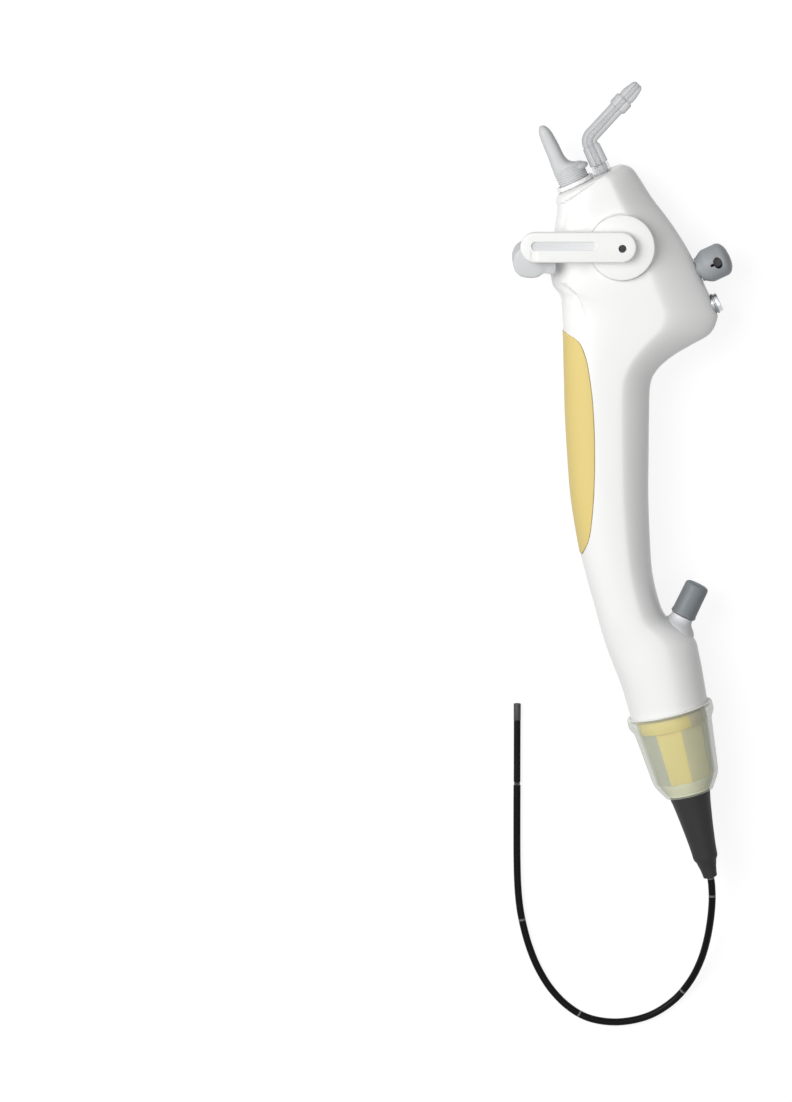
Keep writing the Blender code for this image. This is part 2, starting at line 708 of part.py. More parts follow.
def make_handle():
    near = half_shell("housing_near", 1)
    far = half_shell("housing_far", -1)
    low_v = DECK_V - CUT_MARGIN
    high_v = DECK_V + CUT_MARGIN
    low_u = FACE_U - CUT_MARGIN
    high_u = FACE_U + CUT_MARGIN
    openings = [
        cylinder("pivot_hole", Vector((0, 0, -CUT_MARGIN)), Vector((0, 0, 2 * MID_Z + CUT_MARGIN)),
                 PIVOT_BUSH_R + GAP),
        cylinder("valve_hole", head_point(VALVE_U, low_v), head_point(VALVE_U, high_v),
                 SEAT_SPIGOT_R + GAP, segments=ROUND_STEPS),
        cylinder("elbow_hole", head_point(ELBOW_U, low_v), head_point(ELBOW_U, high_v),
                 ELBOW_SOCKET_R),
        cylinder("socket_hole", head_point(low_u, SOCKET_V), head_point(high_u, SOCKET_V),
                 SOCKET_SHAFT_R + GAP),
        cylinder("record_hole", head_point(low_u, RECORD_V), head_point(high_u, RECORD_V),
                 BEZEL_BARREL_R + GAP),
        cylinder("port_hole", PORT_BASE + PORT_AXIS * PORT_SHANK_LOW,
                 PORT_BASE - PORT_AXIS * PORT_SHANK_LOW, PORT_SHANK_R + GAP),
        make_palm_pad(),
    ]
    for shell, side in ((near, 1), (far, -1)):
        add_posts(shell, side)
        cut(shell, *openings)


# Control lever, its axle and the wire drum

def make_pivot():
    skin = envelope("handle_skin", GAP)
    near_face = MID_Z + HEAD_HALF
    disc_top = near_face + DISC_PROUD
    far_face = CAP_PROUD
    axis = axis_frame(Vector((0, 0, 0)), Vector((0, 0, 1)), math.pi / RING_STEPS)
    bore = AXLE_R + GAP
    disc = turned("pivot_disc", [(bore, disc_top), (DISC_R - DISC_EDGE, disc_top),
                                 (DISC_R, disc_top - DISC_EDGE), (DISC_R, near_face - DISC_ROOT),
                                 (bore, near_face - DISC_ROOT)], axis, "white_shell", RING_STEPS)
    cut(disc, skin)
    bush_top = disc_top - DISC_EDGE
    bush_low = near_face - WALL - BUSH_DEPTH
    bush = turned("near_bush", [(bore, bush_top), (PIVOT_BUSH_R, bush_top), (PIVOT_BUSH_R, bush_low),
                                (bore, bush_low)], axis, steps=SMALL_STEPS)
    join(disc, bush)
    cap_top = far_face - GAP
    bush_end = far_face + WALL + BUSH_DEPTH
    turned("hub_cap", [(0, CAP_FLOOR), (bore, CAP_FLOOR), (bore, bush_end), (PIVOT_BUSH_R, bush_end),
                       (PIVOT_BUSH_R, cap_top), (HUB_CAP_R, cap_top), (HUB_CAP_R, DISC_EDGE),
                       (HUB_CAP_R - DISC_EDGE, 0), (0, 0)], axis, "white_shell", RING_STEPS)
    arm_low = disc_top + GAP
    arm_top = arm_low + ARM_THICK
    axle_top = arm_low + AXLE_ENTRY
    axle = turned("lever_axle", [(0, axle_top), (AXLE_R, axle_top), (AXLE_R, CAP_FLOOR + GAP),
                                 (0, CAP_FLOOR + GAP)], axis, "steel", SMALL_STEPS)
    head_low = arm_top - SCREW_SUNK - SCREW_HEAD_THICK
    screw_end = head_low - SCREW_LENGTH
    turned("lever_screw", [(0, head_low + SCREW_HEAD_THICK), (SCREW_HEAD_R, head_low + SCREW_HEAD_THICK),
                           (SCREW_HEAD_R, head_low), (SCREW_SHANK_R, head_low),
                           (SCREW_SHANK_R, screw_end), (0, screw_end)], axis, "steel", SMALL_STEPS)
    cut(axle, cylinder("axle_thread", Vector((0, 0, screw_end - GAP)), Vector((0, 0, arm_top)),
                       SCREW_SHANK_R + GAP))
    make_arm(arm_low, arm_top, head_low)
    make_thumb_pad(arm_low - GAP)
    turned("wire_drum", [(AXLE_R + GAP, DRUM_HALF), (DRUM_R, DRUM_HALF), (DRUM_R, 1.6 * MM),
                         (DRUM_GROOVE_R, 0.5 * MM), (DRUM_GROOVE_R, -0.5 * MM), (DRUM_R, -1.6 * MM),
                         (DRUM_R, -DRUM_HALF), (AXLE_R + GAP, -DRUM_HALF)],
           Matrix.Translation((0, 0, MID_Z)) @ axis, "brass", SMALL_STEPS)


def slot_outline(from_x, to_x, centre_y, half_width, steps=10):
    """A slot with round ends: the left end's centre at from_x, the right end's at to_x."""
    points = []
    for centre_x, start in ((to_x, -90), (from_x, 90)):
        for i in range(steps + 1):
            angle = math.radians(start + 180 * i / steps)
            points.append((centre_x + half_width * math.cos(angle),
                           centre_y + half_width * math.sin(angle)))
    return points


def make_arm(low, top, screw_seat):
    arm = flat_piece("lever_arm", slot_outline(ARM_END_X, -ARM_CENTRE_Y, ARM_CENTRE_Y, ARM_HALF_WIDTH),
                     low, top, "white_shell")
    round_edges(arm, ARM_EDGE)
    groove = flat_piece("arm_groove", slot_outline(GROOVE_FROM_X, GROOVE_TO_X, GROOVE_Y, GROOVE_HALF, 6),
                        top - GROOVE_DEPTH, top + CUT_MARGIN)
    sink = cylinder("screw_sink", Vector((0, 0, screw_seat - GAP)), Vector((0, 0, top + CUT_MARGIN)),
                    SCREW_HOLE_R)
    pocket = cylinder("axle_pocket", Vector((0, 0, low - CUT_MARGIN)),
                      Vector((0, 0, low + AXLE_ENTRY + GAP)), AXLE_R + GAP)
    through = cylinder("screw_through", Vector((0, 0, low - CUT_MARGIN)), Vector((0, 0, top + CUT_MARGIN)),
                       SCREW_SHANK_R + GAP)
    cut(arm, groove, sink, pocket, through)


def make_thumb_pad(top):
    outline = [(x * MM, y * MM) for x, y in PAD_OUTLINE]
    first, last = PAD_ARC
    steps = 4
    for i in range(steps + 1):
        angle = math.radians(last + (first - last) * i / steps)
        outline.append((PAD_INNER_R * math.cos(angle), PAD_INNER_R * math.sin(angle)))
    pad = flat_piece("thumb_pad", outline, PAD_LOW_Z, top, "soft_white")
    round_edges(pad, PAD_EDGE)


# Pull wires, their block and sheaths

def make_wires():
    wire_x = DRUM_GROOVE_R + WIRE_R + GAP
    block = box("wire_block", (BLOCK_LEFT_X, BLOCK_END_Y, CHASSIS_LOW_Z + CHASSIS_THICK + GAP),
                (BLOCK_RIGHT_X, BLOCK_TOP_Y, MID_Z + BLOCK_RISE), "light_grey")
    guide_end = BLOCK_END_Y - GAP
    for side, name in ((-1, "left"), (1, "right")):
        x = side * wire_x
        cylinder(f"pull_wire_{name}", Vector((x, WIRE_END_Y, MID_Z)), Vector((x, WIRE_TOP_Y, MID_Z)),
                 WIRE_R, "steel", segments=8)
        lug_low = Vector((x, BLOCK_END_Y, MID_Z))
        lug_top = Vector((x, BLOCK_TOP_Y, MID_Z))
        join(block, cylinder(f"block_lug_{name}", lug_low, lug_top, BLOCK_LUG_R))
        cut(block, cylinder(f"wire_bore_{name}", lug_low - Vector((0, 1 * MM, 0)),
                            lug_top + Vector((0, 1 * MM, 0)), WIRE_R + GAP))
        route = [Vector((x, guide_end, MID_Z)), Vector((x, guide_end - SHEATH_STRAIGHT, MID_Z)),
                 Vector((x * 0.6 + 0.5 * MM, SHEATH_NARROW_Y, MID_Z)),
                 SHEATH_LOW + Vector((x * 0.35, 0, MID_Z - LINE_DROP * 0.7)),
                 LINES_END + Vector((side * SHEATH_APART, 0, -LINE_DROP))]
        tube(f"wire_sheath_{name}", smooth_route(route, LINE_STEP), SHEATH_R, "steel", 1)


# Chassis, board and inner lines

def make_chassis():
    low = CHASSIS_LOW_Z
    high = low + CHASSIS_THICK
    outline = [(x * MM, y * MM) for x, y in CHASSIS_OUTLINE]
    chassis = flat_piece("chassis", outline, low, high, "light_grey")
    for number, (x, y) in enumerate(CHASSIS_FEET):
        floor = wall_inside(x, y)
        join(chassis, cylinder(f"chassis_foot_{number}", Vector((x * MM, y * MM, floor + FOOT_CLEARANCE)),
                               Vector((x * MM, y * MM, high - 0.4 * MM)), FOOT_R, segments=10))
    bearing = cylinder("chassis_bearing", Vector((0, 0, low + 0.4 * MM)),
                       Vector((0, 0, MID_Z - DRUM_HALF - GAP)), PIVOT_BUSH_R)
    join(chassis, bearing)
    cut(chassis, cylinder("bearing_bore", Vector((0, 0, low - 1 * MM)), Vector((0, 0, MID_Z)),
                          AXLE_R + GAP))
    board_low = high + GAP
    frame = Matrix.Rotation(HEAD_TILT, 4, "Z")
    box("circuit_board", (BOARD_U[0] * MM, BOARD_V[0] * MM, board_low),
        (BOARD_U[1] * MM, BOARD_V[1] * MM, board_low + BOARD_THICK), "board_green", frame)


def wall_inside(x, y):
    """Height of the far wall's inner face under a point, in metres."""
    best = None
    for row in range(4 * (len(HANDLE_ROWS) - 1)):
        for step in range(1, 36):
            point = handle_point(row / 4, -math.radians(5 * step))
            distance = flat_distance(point, x, y)
            if best is None or distance < best[0]:
                best = (distance, point.z)
    return best[1] + WALL


def make_inner_lines():
    down = -PORT_AXIS
    branch = PORT_BASE + down * CONNECTOR_DOWN
    top = PORT_BASE + PORT_AXIS * (PORT_SHANK_LOW - GAP)
    connector = cylinder("y_connector", branch + down * 2 * MM, top, CONNECTOR_R, "clear")
    leg_end = RING_ORIGIN + RING_AXIS * (FERRULE_TOP - 3 * GAP)
    side_end = branch + CONNECTOR_SIDE
    join(connector, cylinder("distal_leg", leg_end, branch, CONNECTOR_R),
         cylinder("side_leg", side_end, branch, CONNECTOR_R))
    toward = (side_end - branch).normalized()
    valve_end = head_point(VALVE_U, CYLINDER_LOW_V - 3 * GAP)
    route = [side_end + toward * GAP, side_end + toward * 8 * MM,
             *[Vector((x * MM, y * MM, MID_Z)) for x, y in CHANNEL_ROUTE],
             valve_end - V_AXIS * 2.5 * MM, valve_end]
    tube("channel_tube", smooth_route(route, LINE_STEP), CHANNEL_R, "clear", 2)
    cable_z = CHASSIS_LOW_Z + CHASSIS_THICK + GAP + BOARD_THICK + GAP + CABLE_R
    route = [head_point(9 * MM, -31 * MM, cable_z),
             *[Vector((x * MM, y * MM, cable_z + rise * MM)) for x, y, rise in CABLE_ROUTE],
             LINES_END + Vector((0, 0, LINE_DROP))]
    tube("camera_cable", smooth_route(route, LINE_STEP), CABLE_R, "charcoal", 1)


# Deck: suction button, its valve, and the clear elbow

def make_valve():
    frame = axis_frame(head_point(VALVE_U, 0), V_AXIS)
    flange_low = DECK_V + GAP
    turned("valve_seat", [(SEAT_BORE_R, SEAT_TOP_V), (SEAT_FLANGE_R - SEAT_EDGE, SEAT_TOP_V),
                          (SEAT_FLANGE_R, SEAT_TOP_V - SEAT_EDGE), (SEAT_FLANGE_R, flange_low),
                          (SEAT_SPIGOT_R, flange_low), (SEAT_SPIGOT_R, SEAT_LOW_V),
                          (CYLINDER_R + GAP, SEAT_LOW_V), (CYLINDER_R + GAP, SEAT_LOW_V + SEAT_LIP),
                          (SEAT_BORE_R, SEAT_LOW_V + SEAT_LIP)], frame, "white_shell")
    lip_low = SEAT_LOW_V + SEAT_LIP + GAP
    bore = PISTON_R + GAP
    lip_top = lip_low + CYLINDER_LIP
    floor = CYLINDER_LOW_V + CYLINDER_FLOOR
    turned("valve_cylinder", [(bore, lip_top), (SEAT_BORE_R - GAP, lip_top), (SEAT_BORE_R - GAP, lip_low),
                              (CYLINDER_R, lip_low), (CYLINDER_R, CYLINDER_LOW_V),
                              (CHANNEL_R, CYLINDER_LOW_V), (CHANNEL_R, floor), (bore, floor)],
           frame, "light_grey")
    rib_top = BUTTON_TOP_V - RIB_REST
    ribs = [(BUTTON_R, rib_top + 0.4 * MM)]
    pitch = (rib_top - SEAT_TOP_V - GAP) / BELLOWS_RIBS
    for i in range(BELLOWS_RIBS):
        base = rib_top - i * pitch
        ribs += [(BUTTON_R - RIB_DEPTH, base - 0.35 * pitch), (BUTTON_R, base - pitch)]
    button = turned("suction_button", [(0, BUTTON_TOP_V), (BUTTON_R - 1.2 * MM, BUTTON_TOP_V), *ribs,
                                       (BUTTON_R, BUTTON_FOOT_V), (0, BUTTON_FOOT_V)],
                    frame, "soft_white")
    outline = [head_point(VALVE_U + across * MM, BUTTON_TOP_V + rise * MM).to_2d()
               for across, rise in HORN_OUTLINE]
    horn = flat_piece("button_horn", outline, MID_Z - HORN_HALF, MID_Z + HORN_HALF)
    round_edges(horn, HORN_EDGE)
    join(button, horn)
    piston_top = BUTTON_FOOT_V - GAP
    peg_top = piston_top + BUTTON_PEG_LENGTH
    head_top = PISTON_LOW_V + PISTON_HEIGHT
    turned("valve_piston", [(0, peg_top), (BUTTON_PEG_R, peg_top), (BUTTON_PEG_R, piston_top),
                            (PISTON_COLLAR_R, piston_top), (PISTON_COLLAR_R, piston_top - PISTON_COLLAR),
                            (BUTTON_PEG_R, piston_top - PISTON_COLLAR), (BUTTON_PEG_R, head_top),
                            (PISTON_R, head_top), (PISTON_R, PISTON_LOW_V), (0, PISTON_LOW_V)],
           frame, "light_grey", SMALL_STEPS)
    cut(button, cylinder("piston_socket", head_point(VALVE_U, BUTTON_FOOT_V - 1 * MM),
                         head_point(VALVE_U, peg_top + GAP), BUTTON_PEG_R + GAP))


def make_elbow():
    frame = axis_frame(head_point(ELBOW_U, 0), V_AXIS)
    bore = ELBOW_STEM_R + GAP
    shank = ELBOW_SOCKET_R - GAP
    turned("elbow_socket", [(bore, ELBOW_SOCKET_TOP_V), (ELBOW_SOCKET_R, ELBOW_SOCKET_TOP_V),
                            (ELBOW_SOCKET_R, DECK_V + GAP), (shank, DECK_V + GAP),
                            (shank, ELBOW_SOCKET_LOW_V), (bore, ELBOW_SOCKET_LOW_V)], frame, "clear",
           SMALL_STEPS)
    bend = head_point(ELBOW_U, ELBOW_BEND_V)
    heading = (U_AXIS * math.cos(ELBOW_RISE) + V_AXIS * math.sin(ELBOW_RISE)).normalized()
    stem_top = ELBOW_SOCKET_TOP_V + GAP
    sleeve_top = ELBOW_BEND_V - ELBOW_SLEEVE_DROP
    elbow = turned("suction_elbow", [(0, ELBOW_BEND_V), (ELBOW_R, ELBOW_BEND_V),
                                     (ELBOW_R, sleeve_top + 0.6 * MM), (ELBOW_SLEEVE_R, sleeve_top),
                                     (ELBOW_SLEEVE_R, stem_top), (ELBOW_STEM_R, stem_top),
                                     (ELBOW_STEM_R, ELBOW_STEM_LOW_V), (0, ELBOW_STEM_LOW_V)],
                   frame, "clear", SMALL_STEPS)
    flange_low = ELBOW_FLANGE_AT - ELBOW_FLANGE_HALF
    flange_top = ELBOW_FLANGE_AT + ELBOW_FLANGE_HALF
    arm = turned("elbow_arm", [(0, ELBOW_LENGTH), (BARB_TIP_R, ELBOW_LENGTH), (BARB_R, BARB_AT),
                               (ELBOW_STEM_R, BARB_AT - 0.2 * MM), (ELBOW_STEM_R, flange_top + 0.1 * MM),
                               (ELBOW_FLANGE_R, flange_top), (ELBOW_FLANGE_R, flange_low),
                               (ELBOW_R, flange_low - 0.2 * MM), (ELBOW_R, 0), (0, 0)],
                 axis_frame(bend, heading), steps=SMALL_STEPS)
    join(elbow, arm, ball("elbow_knee", bend, ELBOW_R + KNEE_BULGE, segments=16))
    bore_up = cylinder("elbow_bore_stem", head_point(ELBOW_U, ELBOW_STEM_LOW_V - 1 * MM), bend,
                       ELBOW_BORE_R * 0.8)
    bore_out = cylinder("elbow_bore_arm", bend - heading * 0.8 * MM,
                        bend + heading * (ELBOW_LENGTH + 1 * MM), ELBOW_BORE_R * 0.6)
    join(bore_up, bore_out)
    cut(elbow, bore_up)


# Finger face: cable socket and record button

def make_finger_face():
    frame = axis_frame(head_point(0, SOCKET_V), U_AXIS)
    face = FACE_U + GAP
    inside = FACE_U - WALL - 2 * GAP
    socket = turned("cable_socket", [(0, SOCKET_END_U), (3.2 * MM, SOCKET_END_U - 0.3 * MM),
                                     (6.2 * MM, SOCKET_END_U - 1.6 * MM),
                                     (SOCKET_HEAD_R, SOCKET_END_U - 3.4 * MM),
                                     (SOCKET_HEAD_R, face + 4.6 * MM),
                                     (SOCKET_HEAD_R - 0.9 * MM, face + 2.4 * MM),
                                     (SOCKET_NECK_R + 0.2 * MM, face + 0.8 * MM), (SOCKET_NECK_R, face),
                                     (SOCKET_SHAFT_R, face), (SOCKET_SHAFT_R, inside - 5 * MM),
                                     (0, inside - 5 * MM)], frame, "grey_soft")
    centre = head_point(SOCKET_HOLE_U, SOCKET_V)
    floor = centre + Vector((0, 0, SOCKET_HEAD_R - SOCKET_HOLE_DEPTH))
    rim = centre + Vector((0, 0, SOCKET_HEAD_R + 1 * MM))
    hole = cylinder("socket_bore", floor, rim, SOCKET_HOLE_R)
    key_frame = Matrix.Rotation(HEAD_TILT, 4, "Z")
    key = box("socket_key", (SOCKET_HOLE_U - SOCKET_HOLE_R - 1.1 * MM, SOCKET_V - SOCKET_KEY_HALF, floor.z),
              (SOCKET_HOLE_U, SOCKET_V + SOCKET_KEY_HALF, rim.z), matrix=key_frame)
    cut(socket, hole, key)
    cylinder("socket_insert", floor + Vector((0, 0, GAP)), floor + Vector((0, 0, 2.5 * MM)),
             SOCKET_HOLE_R - GAP, "charcoal", SMALL_STEPS)
    nut_low = inside - NUT_THICK
    nut = turned("socket_nut", [(0, inside), (NUT_R, inside), (NUT_R, nut_low), (0, nut_low)],
                 frame, "brass", 6)
    cut(nut, cylinder("nut_bore", head_point(nut_low - 1 * MM, SOCKET_V),
                      head_point(inside + 1 * MM, SOCKET_V), SOCKET_SHAFT_R + GAP))
    frame = axis_frame(head_point(0, RECORD_V), U_AXIS)
    bore = RECORD_R + GAP
    floor = BEZEL_LOW_U + BEZEL_FLOOR
    turned("button_bezel", [(bore, face + BEZEL_RIM), (BEZEL_R, face + BEZEL_RIM), (BEZEL_R, face),
                            (BEZEL_BARREL_R, face), (BEZEL_BARREL_R, BEZEL_LOW_U),
                            (PLUNGER_R + GAP, BEZEL_LOW_U), (PLUNGER_R + GAP, floor), (bore, floor)],
           frame, "charcoal", SMALL_STEPS)
    foot = floor + RECORD_TRAVEL + GAP
    plunger = BEZEL_LOW_U + RECORD_TRAVEL
    turned("record_button", [(0, RECORD_END_U), (2.4 * MM, RECORD_END_U - 0.2 * MM),
                             (RECORD_R, RECORD_END_U - 1.1 * MM), (RECORD_R, foot), (PLUNGER_R, foot),
                             (PLUNGER_R, plunger), (0, plunger)], frame, "steel", SMALL_STEPS)
    switch_top = BEZEL_LOW_U - GAP
    switch_low = switch_top - SWITCH_THICK
    turned("record_switch", [(0, switch_top), (SWITCH_R, switch_top), (SWITCH_R, switch_low),
                             (0, switch_low)], frame, "charcoal", SMALL_STEPS)


# Working channel port

def make_port():
    frame = axis_frame(PORT_BASE, PORT_AXIS)
    neck_end = PORT_CAP_FROM - 0.2 * MM
    neck = turned("port_neck", [(0, neck_end), (PORT_NECK_R, neck_end), (PORT_NECK_R, 3.4 * MM),
                                (PORT_NECK_R + 0.5 * MM, 2.0 * MM), (PORT_FOOT_R - 0.6 * MM, 0.6 * MM),
                                (PORT_FOOT_R, -3.0 * MM), (0, -3.0 * MM)], frame, "light_grey")
    cut(neck, envelope("port_skin", GAP))
    shank = cylinder("port_shank", PORT_BASE + PORT_AXIS * PORT_SHANK_LOW, PORT_BASE + PORT_AXIS * 3 * MM,
                     PORT_SHANK_R)
    nozzle = cylinder("port_nozzle", PORT_BASE + PORT_AXIS * 3 * MM,
                      PORT_BASE + PORT_AXIS * PORT_NOZZLE_TO, PORT_NOZZLE_R)
    join(neck, shank, nozzle)
    cut(neck, cylinder("port_bore", PORT_BASE + PORT_AXIS * (PORT_SHANK_LOW - 1 * MM),
                       PORT_BASE + PORT_AXIS * (PORT_NOZZLE_TO + 1 * MM), PORT_BORE_R))
    fit = PORT_NOZZLE_R + GAP
    turned("port_cap", [(0, PORT_CAP_TO), (PORT_CAP_R - 1.3 * MM, PORT_CAP_TO),
                        (PORT_CAP_R - 0.3 * MM, PORT_CAP_TO - 0.6 * MM),
                        (PORT_CAP_R - 0.1 * MM, PORT_CAP_TO - 1.6 * MM),
                        (PORT_CAP_R, PORT_CAP_FROM + 1.2 * MM),
                        (PORT_CAP_R - 0.4 * MM, PORT_CAP_FROM + 0.1 * MM),
                        (fit, PORT_CAP_FROM + 0.1 * MM), (fit, PORT_NOZZLE_TO + GAP),
                        (0, PORT_NOZZLE_TO + GAP)], frame, "grey_soft")


# Rotation ring, its core, the boot and the spigot that they turn on

def ring_turned(name, profile, material=None, steps=ROUND_STEPS, turn=0.0):
    """Turns a profile of (radius, distance down from the handle's end)."""
    frame = axis_frame(RING_ORIGIN, -RING_AXIS, turn)
    return turned(name, [(radius, -down) for radius, down in profile], frame, material, steps)


def make_ring():
    lip = HANDLE_END_R + GAP * 1.5
    inner_top = RING_SHOULDER_R - RING_WALL
    inner_low = RING_LOW_R - RING_WALL
    mouth = BOOT_COLLAR_R + GAP
    ring_turned("rotation_ring", [(lip, FLANGE_TOP), (FLANGE_R - 0.5 * MM, FLANGE_TOP),
                                  (FLANGE_R, FLANGE_TOP + 0.6 * MM), (FLANGE_R, FLANGE_BOTTOM - 0.5 * MM),
                                  (FLANGE_R - 1.0 * MM, FLANGE_BOTTOM + 0.6 * MM),
                                  (RING_SHOULDER_R, RING_SHOULDER_T), (RING_LOW_R, RING_LOW_T),
                                  (RING_LOW_R - 1.6 * MM, RING_LOW_T + 3.2 * MM),
                                  (mouth + 0.9 * MM, RING_END_T - 0.3 * MM), (mouth + 0.4 * MM, RING_END_T),
                                  (mouth, RING_END_T), (mouth, RING_END_T - 1.2 * MM),
                                  (inner_low - 1.3 * MM, RING_LOW_T + 2.6 * MM), (inner_low, RING_LOW_T),
                                  (inner_top, RING_SHOULDER_T), (inner_top + 0.2 * MM, 1.4 * MM),
                                  (lip, 1.2 * MM)], "ring_amber", RING_STEPS)
    band_r = inner_top - GAP
    core_top = inner_top - 0.5 * MM
    core_low = inner_low - 0.8 * MM
    bore = SPIGOT_R + GAP
    half_facet = math.pi / CORE_FACETS
    core_from = CORE_TOP + CORE_BAND - 0.6 * MM
    core = ring_turned("ring_core", [(0, core_from), (core_top, core_from), (core_low, CORE_END),
                                     (0, CORE_END)], "core_yellow", CORE_FACETS, half_facet)
    band = ring_turned("core_band", [(0, CORE_TOP), (band_r, CORE_TOP), (band_r, CORE_TOP + CORE_BAND),
                                     (0, CORE_TOP + CORE_BAND)], steps=RING_STEPS)
    join(core, band)
    step = SNAP_T - GAP
    plug_bore = BOOT_PLUG_R + GAP
    cut(core, ring_turned("core_bore", [(0, CORE_TOP - 1 * MM), (bore, CORE_TOP - 1 * MM), (bore, step),
                                        (plug_bore, step), (plug_bore, CORE_END + 1 * MM),
                                        (0, CORE_END + 1 * MM)]))


def make_boot():
    wide = FERRULE_R + GAP
    thin = TUBE_R + GAP
    ring_turned("strain_boot", [(wide, BOOT_PLUG_TOP), (BOOT_PLUG_R, BOOT_PLUG_TOP),
                                (BOOT_PLUG_R, RING_END_T - 3.4 * MM),
                                (BOOT_COLLAR_R, RING_END_T - 3.0 * MM),
                                (BOOT_COLLAR_R, BOOT_COLLAR_END), (8.3 * MM, BOOT_COLLAR_END + 3.0 * MM),
                                (BOOT_SHOULDER_R + 0.3 * MM, BOOT_SHOULDER_T - 7 * MM),
                                (BOOT_SHOULDER_R, BOOT_SHOULDER_T - 1.0 * MM),
                                (BOOT_SHOULDER_R - 0.9 * MM, BOOT_SHOULDER_T + 0.4 * MM),
                                (BOOT_END_R + 0.4 * MM, BOOT_END_T - 2.2 * MM), (BOOT_END_R, BOOT_END_T),
                                (thin, BOOT_END_T), (thin, FERRULE_END + GAP), (wide, FERRULE_END + GAP)],
                "charcoal")


def make_spigot():
    plug_r = HANDLE_END_R - WALL - 2 * GAP
    bore = FERRULE_R + GAP
    groove_r = SPIGOT_R - SNAP_DEPTH
    ring_turned("lower_spigot", [(bore, -6 * MM), (plug_r - 0.6 * MM, -6 * MM), (plug_r, 0), (SPIGOT_R, 0),
                                 (SPIGOT_R, SNAP_T), (groove_r, SNAP_T), (groove_r, SNAP_T + SNAP_THICK),
                                 (SPIGOT_R, SNAP_T + SNAP_THICK), (SPIGOT_R, SPIGOT_END),
                                 (bore, SPIGOT_END)], "white_shell")
    clear = 0.2 * MM
    ring_turned("snap_ring", [(groove_r + clear, SNAP_T + clear), (SNAP_R, SNAP_T + clear),
                              (SNAP_R, SNAP_T + SNAP_THICK - clear),
                              (groove_r + clear, SNAP_T + SNAP_THICK - clear)], "steel")
    bore = TUBE_R - 0.4 * MM
    ring_turned("tube_ferrule", [(bore, FERRULE_TOP), (FERRULE_R, FERRULE_TOP), (FERRULE_R, FERRULE_END),
                                 (bore, FERRULE_END)], "brass", SMALL_STEPS)


# Insertion tube and its steerable end

def make_tube():
    start = RING_ORIGIN + RING_AXIS * TUBE_START_T
    leave = RING_ORIGIN + RING_AXIS * BOOT_END_T
    loop = [Vector((x * MM, leave.y - share * LOOP_DEPTH, z * MM)) for x, share, z in TUBE_ROUTE]
    route = [start, (start + leave) / 2, leave, *loop, TUBE_END]
    tube("insertion_tube", smooth_route(route, TUBE_STEP), TUBE_R, "black_tube", 2)


def tongue_pair(name, pivot, outward, outer):
    """Two flat tongues, above and below the middle, that reach from a link's ring past the pivot."""
    inner_z = TONGUE_SPLIT + HINGE_GAP / 2 if outer else TONGUE_SPLIT - HINGE_GAP / 2 - TONGUE_THICK
    made = []
    for side in (-1, 1):
        low, high = sorted((side * inner_z, side * (inner_z + TONGUE_THICK)))
        outline = []
        for i in range(TONGUE_CORNERS + 1):
            angle = math.pi * i / TONGUE_CORNERS
            outline.append((pivot.x + TONGUE_HALF * math.cos(angle),
                            pivot.y + outward * TONGUE_HALF * math.sin(angle)))
        root_y = pivot.y - outward * (LINK_INSET + 0.4 * MM)
        outline += [(pivot.x - TONGUE_HALF, root_y), (pivot.x + TONGUE_HALF, root_y)]
        made.append(flat_piece(f"{name}_{side}", outline, pivot.z + low, pivot.z + high))
    return made


def make_link(name, first, second, material, rear=True, front=True):
    """A ring between two pivots, with inner tongues behind it and outer tongues before it."""
    low = first.y + LINK_INSET
    high = second.y - LINK_INSET
    link = turned(name, [(LINK_BORE_R, high), (LINK_R, high), (LINK_R, low), (LINK_BORE_R, low)],
                  axis_frame(Vector((first.x, 0, first.z)), Vector((0, 1, 0))), material, LINK_STEPS)
    if rear:
        join(link, *tongue_pair(name + "_rear", first, -1, False))
    if front:
        join(link, *tongue_pair(name + "_front", second, 1, True))


def make_steerable_end():
    pivot = TUBE_END + Vector((0, FIRST_PIVOT + GAP, 0))
    step = Vector((0, LINK_PITCH, 0))
    make_link("tube_end_ring", TUBE_END - Vector((0, LINK_INSET - GAP, 0)), pivot, "steel", rear=False)
    for number in range(1, LINK_COUNT + 1):
        make_link(f"bending_link_{number}", pivot, pivot + step, "steel", front=number < LINK_COUNT)
        pivot = pivot + step
    low = pivot.y - LINK_INSET + GAP
    high = low + TIP_LENGTH
    frame = axis_frame(Vector((pivot.x, 0, pivot.z)), Vector((0, 1, 0)))
    tip = turned("distal_tip", [(0, high), (TIP_R - 0.3 * MM, high), (TIP_R, high - 0.4 * MM),
                                (TIP_R, low), (0, low)], frame, "charcoal", SMALL_STEPS)
    sunk = 1.2 * MM
    eyes = (("camera_lens", 0.0, 0.62, LENS_R, "clear"),
            ("light_left", -1.02, 0.15, LIGHT_R, "core_yellow"),
            ("light_right", 1.02, 0.15, LIGHT_R, "core_yellow"))
    for name, x, z, radius, material in eyes:
        centre = Vector((pivot.x + x * MM, high, pivot.z + z * MM))
        clear = 0.05 * MM
        cut(tip, cylinder(name + "_seat", centre - Vector((0, sunk, 0)), centre + Vector((0, sunk, 0)),
                          radius + clear, segments=10))
        cylinder(name, centre - Vector((0, sunk - clear, 0)), centre - Vector((0, clear, 0)), radius,
                 material, 10)
    channel = Vector((pivot.x, high, pivot.z - 0.65 * MM))
    cut(tip, cylinder("tip_channel", channel - Vector((0, 4 * MM, 0)), channel + Vector((0, 1 * MM, 0)),
                      0.6 * MM, segments=10))


make_handle()
make_pivot()
make_wires()
make_chassis()
make_inner_lines()
make_valve()
make_elbow()
make_finger_face()
make_port()
make_ring()
make_boot()
make_spigot()
make_tube()
make_steerable_end()
